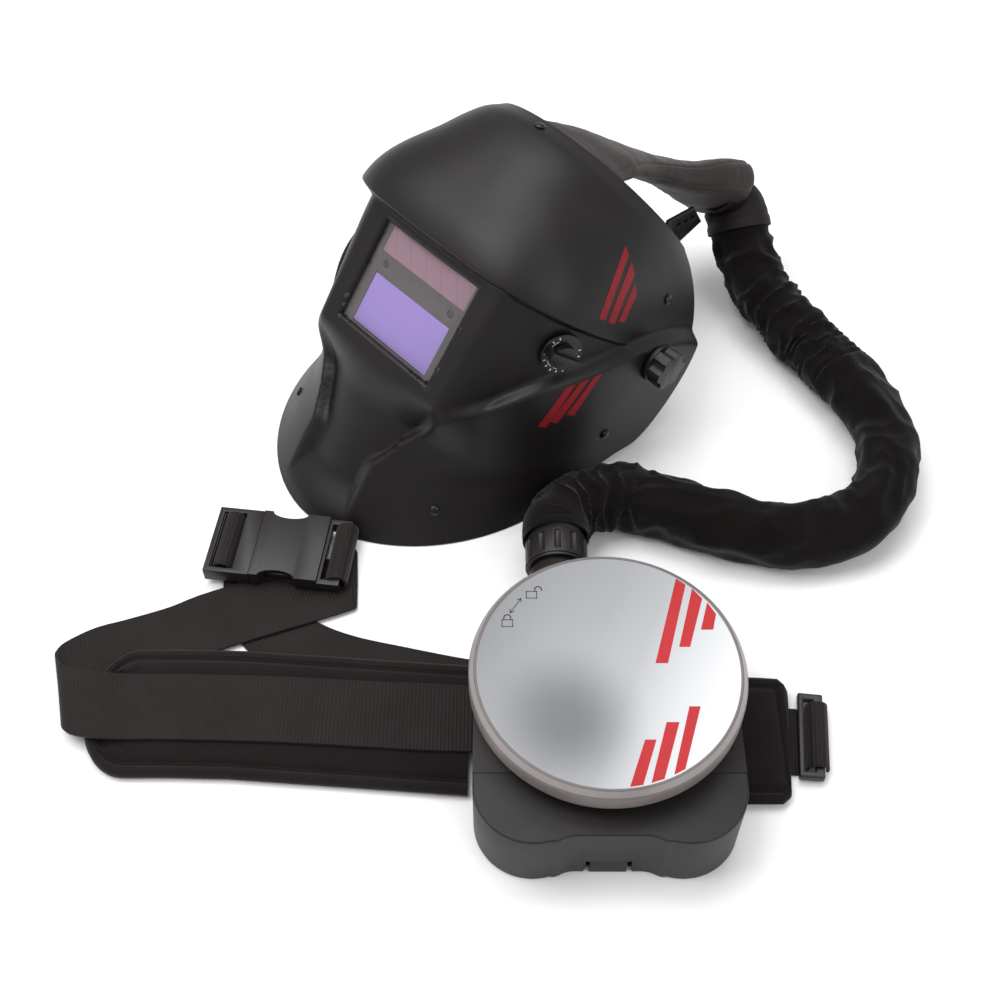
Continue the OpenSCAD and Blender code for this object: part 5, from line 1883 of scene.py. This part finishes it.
@dataclass
class Belt:
    """The padded belt, its webbing, its slider and its side-squeeze buckle.

    Args:
        pad_line: Centre line of the left pad.
        pad_half: Half width of the pads.
        pad_z: Height of a pad's underside.
        pad_t: Thickness of a pad.
        web_t: Thickness of the webbing.
        web_w: Width of the webbing.
        right_line: Centre line of the strap from the right side to the buckle's plug.
    """

    pad_line: tuple = ((-90, 0), (-130, 3), (-170, 6), (-210, 9), (-250, 12), (-290, 13),
                       (-320, 13), (-353, 13))
    end_reach: float = 33.0
    pad_half: float = 49.0
    pad_z: float = 2.5
    pad_t: float = 8.0
    web_t: float = 2.0
    web_w: float = 50.0
    right_line: tuple = (
        (134, -8), (110, -6), (80, 0), (50, 8), (20, 14), (-20, 20), (-60, 26), (-100, 33),
        (-140, 42), (-180, 52), (-212, 66), (-234, 86), (-245, 110), (-248, 135), (-249, 160),
    )

    def loft_height(self, depth: float, open_end: bool = False) -> float:
        """Height of the pad's top at a distance from its edge, as a share of its thickness."""
        return float(np.interp(
            depth,
            (0, 1.0, 2.6, 4.4, 6.6, 7.8, 9.0, 11.5, 16, 24, 34),
            (0.42, 0.62, 0.76, 0.80, 0.70, 0.50, 0.52, 0.76, 0.92, 0.99, 1.0),
        ))

    def left_pad(self) -> None:
        """Makes the long pad with its bound edge, sewn channel and rounded end."""
        line = np.array(self.pad_line, float)
        start, tip = line[0, 0], line[-1, 0]
        knee = tip + self.end_reach
        xs = np.concatenate([
            np.linspace(start, knee, 96),
            knee - self.end_reach * np.sin(np.linspace(0.03, math.pi / 2, 40)),
        ])
        rings, depths = [], []
        for x in xs:
            y0 = float(np.interp(-x, -line[:, 0], line[:, 1]))
            e = min(max((knee - x) / self.end_reach, 0), 1)
            half = max(self.pad_half * math.sqrt(max(1 - e * e, 0)), 0.6)
            top = []
            for w in np.sin(np.linspace(-math.pi / 2, math.pi / 2, 73)):
                y = w * half
                side = half - abs(y) if e == 0 else (
                    (1 - math.sqrt(min(e * e + (y / self.pad_half) ** 2, 1)))
                    * (self.pad_half if abs(y) > 30 else self.end_reach))
                near = min(side, self.pad_half)
                puff = 0.35 * noise.noise(Vector((x / 30, y / 22, 1.0)))
                z = self.pad_z + self.pad_t * self.loft_height(near) + puff * min(near / 12, 1)
                top.append((x, y0 + y, z))
                depths.append(near)
            bottom = [(x, y0 + w * half, self.pad_z + 0.1)
                      for w in np.sin(np.linspace(math.pi / 2, -math.pi / 2, 25))[1:-1]]
            rings.append(top + bottom)
        piece = self.closed(loft("belt_pad_left_cover", rings, closed=True))
        dress(piece, "belt_pad_left", PAD, angle=60)
        self.border(piece, line, knee)
        for inset, name in ((9.2, "inner"), (5.6, "outer")):
            self.pad_stitches(f"pad_stitch_{name}", line, knee, inset)

    def closed(self, piece: bpy.types.Object) -> bpy.types.Object:
        """Merges a closed form and points its faces outwards."""
        outward(piece)
        return piece

    def border(self, piece: bpy.types.Object, line: np.ndarray, knee: float) -> None:
        """Gives the faces of the pad's bound edge their own finish."""
        piece.data.materials.append(BINDING.material())
        for polygon in piece.data.polygons:
            x, y = polygon.center.x / MM, polygon.center.y / MM
            y0 = float(np.interp(-x, -line[:, 0], line[:, 1]))
            e = min(max((knee - x) / self.end_reach, 0), 1)
            gone = math.sqrt(e * e + ((y - y0) / self.pad_half) ** 2)
            if (1 - gone) * (self.pad_half if abs(y - y0) > 25 else self.end_reach) < 7.6:
                polygon.material_index = 1

    def pad_stitches(self, name: str, line: np.ndarray, knee: float, inset: float) -> None:
        """Sews one row of stitches along the pad's edge.

        Args:
            name: Name of the piece.
            line: The pad's centre line.
            knee: Where its rounded end starts.
            inset: Distance from the edge in millimetres.
        """
        spots = []
        start = line[0, 0]
        half, reach = self.pad_half - inset, self.end_reach - inset * 0.9
        for x in np.arange(start, knee, -1.0):
            spots.append((x, float(np.interp(-x, -line[:, 0], line[:, 1])) - half))
        y0 = float(line[-1, 1])
        for q in np.linspace(-math.pi / 2, math.pi / 2, 90):
            spots.append((knee - reach * math.cos(q), y0 + half * math.sin(q)))
        for x in np.arange(knee, start, 1.0):
            spots.append((x, float(np.interp(-x, -line[:, 0], line[:, 1])) + half))
        height = self.pad_z + self.pad_t * self.loft_height(inset) + 0.15
        path = spline([(x, y, height) for x, y in spots[::3]], 3.4)
        piece = dashes(name, list(path), [(0, 0, 1)] * len(path), 0.66, 0.75)
        dress(piece, "belt_pad_left", THREAD, stands_for=False)

    def right_pad(self) -> None:
        """Makes the short pad's end beside the blower."""
        low = ((88, -56), (117, -56), (123, -51), (126, -20), (130, 26))
        high = ((88, 40), (110, 39.4), (124, 38.4), (128, 34), (130, 28))
        rings = []
        for x in 88 + 42 * np.sin(np.linspace(0, math.pi / 2, 36)):
            y0 = float(np.interp(x, [p[0] for p in low], [p[1] for p in low]))
            y1 = float(np.interp(x, [p[0] for p in high], [p[1] for p in high]))
            top = []
            for w in (np.sin(np.linspace(-math.pi / 2, math.pi / 2, 61)) + 1) / 2:
                y = y0 + (y1 - y0) * w
                near = max(min(y - y0, y1 - y, 130.2 - x), 0)
                top.append((x, y, self.pad_z + self.pad_t * self.loft_height(near)))
            rings.append(top + [(x, y0 + (y1 - y0) * w, self.pad_z + 0.1)
                                for w in np.linspace(1, 0, 20)[1:-1]])
        piece = self.closed(loft("belt_pad_right_cover", rings, closed=True))
        dress(piece, "belt_pad_right", PAD, angle=50)

    def edges(self, line: Sequence[Point], z: float) -> list[tuple[float, ...]]:
        """Turns a flat centre line into the strap's two edges."""
        p = np.array(line, float)
        ahead = np.gradient(p, axis=0)
        ahead /= np.linalg.norm(ahead, axis=1)[:, None]
        side = np.stack([-ahead[:, 1], ahead[:, 0]], 1) * self.web_w / 2
        return [(*(a - b), z, *(a + b), z) for a, b in zip(p, side)]

    def left_strap(self) -> None:
        """Lays the strap over the left pad, round its turn and back to the socket."""
        stations = [
            (-87, -21, 11.8, -87, 29, 11.8), (-120, -20, 11.9, -120, 31, 11.9),
            (-150, -18, 12.0, -150, 32, 12.0), (-220, -14, 12.3, -220, 36, 12.3),
            (-290, -12, 12.3, -290, 38, 12.3), (-325, -12, 12.6, -327, 38, 12.6),
            (-345, -11, 13.5, -350, 40, 13.2), (-360, -7, 12, -372, 46, 11.4),
            (-366, 3, 8, -381, 57, 8), (-362, 14, 3.6, -379, 68, 3.6),
            (-346, 30, 1.5, -360, 82, 1.5), (-322, 41, 1.2, -337, 90, 1.2),
            (-292, 53, 1.4, -309, 100, 1.4), (-267, 63, 3.7, -285, 110, 3.7),
            (-221, 80, 3.9, -239, 127, 3.9), (-188, 92, 3.8, -203, 139, 3.8),
            (-176, 97, 3.5, -184, 144, 3.5), (-173, 99, 2.5, -177, 147, 2.5),
            (-175, 102, 1.3, -176, 151, 1.3), (-183, 107, 1.2, -180, 156, 1.2),
            (-190, 112, 2.4, -185, 161, 2.4), (-194, 115, 6, -188.6, 164, 6),
            (-195, 116, 11, -189.5, 165, 11), (-192.5, 116, 15.9, -186.8, 165, 15.9),
            (-187.5, 115.5, 17.5, -181.8, 164.5, 17.5), (-183, 115, 15.9, -177.2, 164, 15.9),
            (-181, 114.6, 10.5, -175.2, 163.6, 10.5), (-182, 114.5, 5.4, -176.2, 163.5, 5.4),
        ]
        piece, length = ribbon("belt_webbing_left_strap", stations, self.web_t, 2.2, 0.25)
        self.lift(piece)
        dress(piece, "belt_webbing_left", WEBBING, angle=60)
        LOG.info("left strap: %.0f mm", length / MM)

    def right_strap(self) -> None:
        """Lays the strap from the slider, behind the blower, to the buckle's plug."""
        stations = self.edges(self.right_line, 1.2)
        piece, length = ribbon("belt_webbing_right_strap", stations, self.web_t, 2.6, 0.0)
        self.lift(piece)
        dress(piece, "belt_webbing_right", WEBBING, angle=60)
        LOG.info("right strap: %.0f mm", length / MM)
        roll = [(31.8, -3.8), (31.6, 4), (31.9, 10), (33.2, 13.6), (37.5, 15.2), (41.8, 13.6),
                (43.1, 10), (43.4, 4), (43.2, -3.4)]
        wrap, girth = ribbon(
            "belt_webbing_plug_wrap",
            [(*self.buckle_point(x, -24, z), *self.buckle_point(x, 24, z)) for x, z in roll],
            self.web_t, 1.6, 0.0,
        )
        self.lift(wrap)
        dress(wrap, "belt_webbing_right", WEBBING, stands_for=False, angle=60)

    def slider_strap(self) -> None:
        """Turns the right strap up through the slider and back over its bar."""
        roll = [(1.0, 2.0), (1.6, 5.0), (2.6, 8.2), (5.5, 10.6), (9.6, 11.2), (13.2, 9.6),
                (14.6, 6.0), (14.2, 3.0)]
        c, s = math.cos(math.radians(-6)), math.sin(math.radians(-6))

        def at(x: float, y: float, z: float) -> tuple[float, float, float]:
            """Returns a place of the slider's frame."""
            return (138 + x * c - y * s, -6 + x * s + y * c, z)

        wrap, girth = ribbon(
            "belt_webbing_slider_wrap", [(*at(x, -24.5, z), *at(x, 24.5, z)) for x, z in roll],
            self.web_t, 1.6, 0.0,
        )
        dress(wrap, "belt_webbing_right", WEBBING, stands_for=False, angle=60)

    def lift(self, piece: bpy.types.Object) -> None:
        """Keeps a strap on the table's surface."""
        for vertex in piece.data.vertices:
            vertex.co.z = max(vertex.co.z, 0.1 * MM)

    def buckle_point(self, x: float, y: float, z: float) -> tuple[float, float, float]:
        """Returns a place of the buckle's own frame in the row frame."""
        turn = math.radians(173)
        return (
            -232 + x * math.cos(turn) - y * math.sin(turn),
            145 + x * math.sin(turn) + y * math.cos(turn),
            4.9 + z,
        )

    def build(self) -> None:
        """Builds the belt."""
        self.left_pad()
        self.right_pad()
        self.left_strap()
        self.right_strap()
        self.slider_strap()
        carried("belt_slider", BUCKLE, 1.4, 3)
        carried("buckle_socket", BUCKLE, 1.6, 3)
        carried("buckle_plug", BUCKLE, 1.4, 3)
        carried("buckle_arm_left", BUCKLE, 0.8)
        carried("buckle_arm_right", BUCKLE, 0.8)


# ------------------------------------------------------------------ all


def main() -> None:
    """Builds the respirator, piece by piece."""
    logging.basicConfig(level=logging.INFO, format="%(name)s: %(message)s", force=True)
    Studio().build()
    for assembly in (Hose(), Blower(), Battery(), Headgear(), Shell(), Belt()):
        LOG.info("building %s", type(assembly).__name__)
        assembly.build()
    leave_edit()


if __name__ == "__main__":
    main()
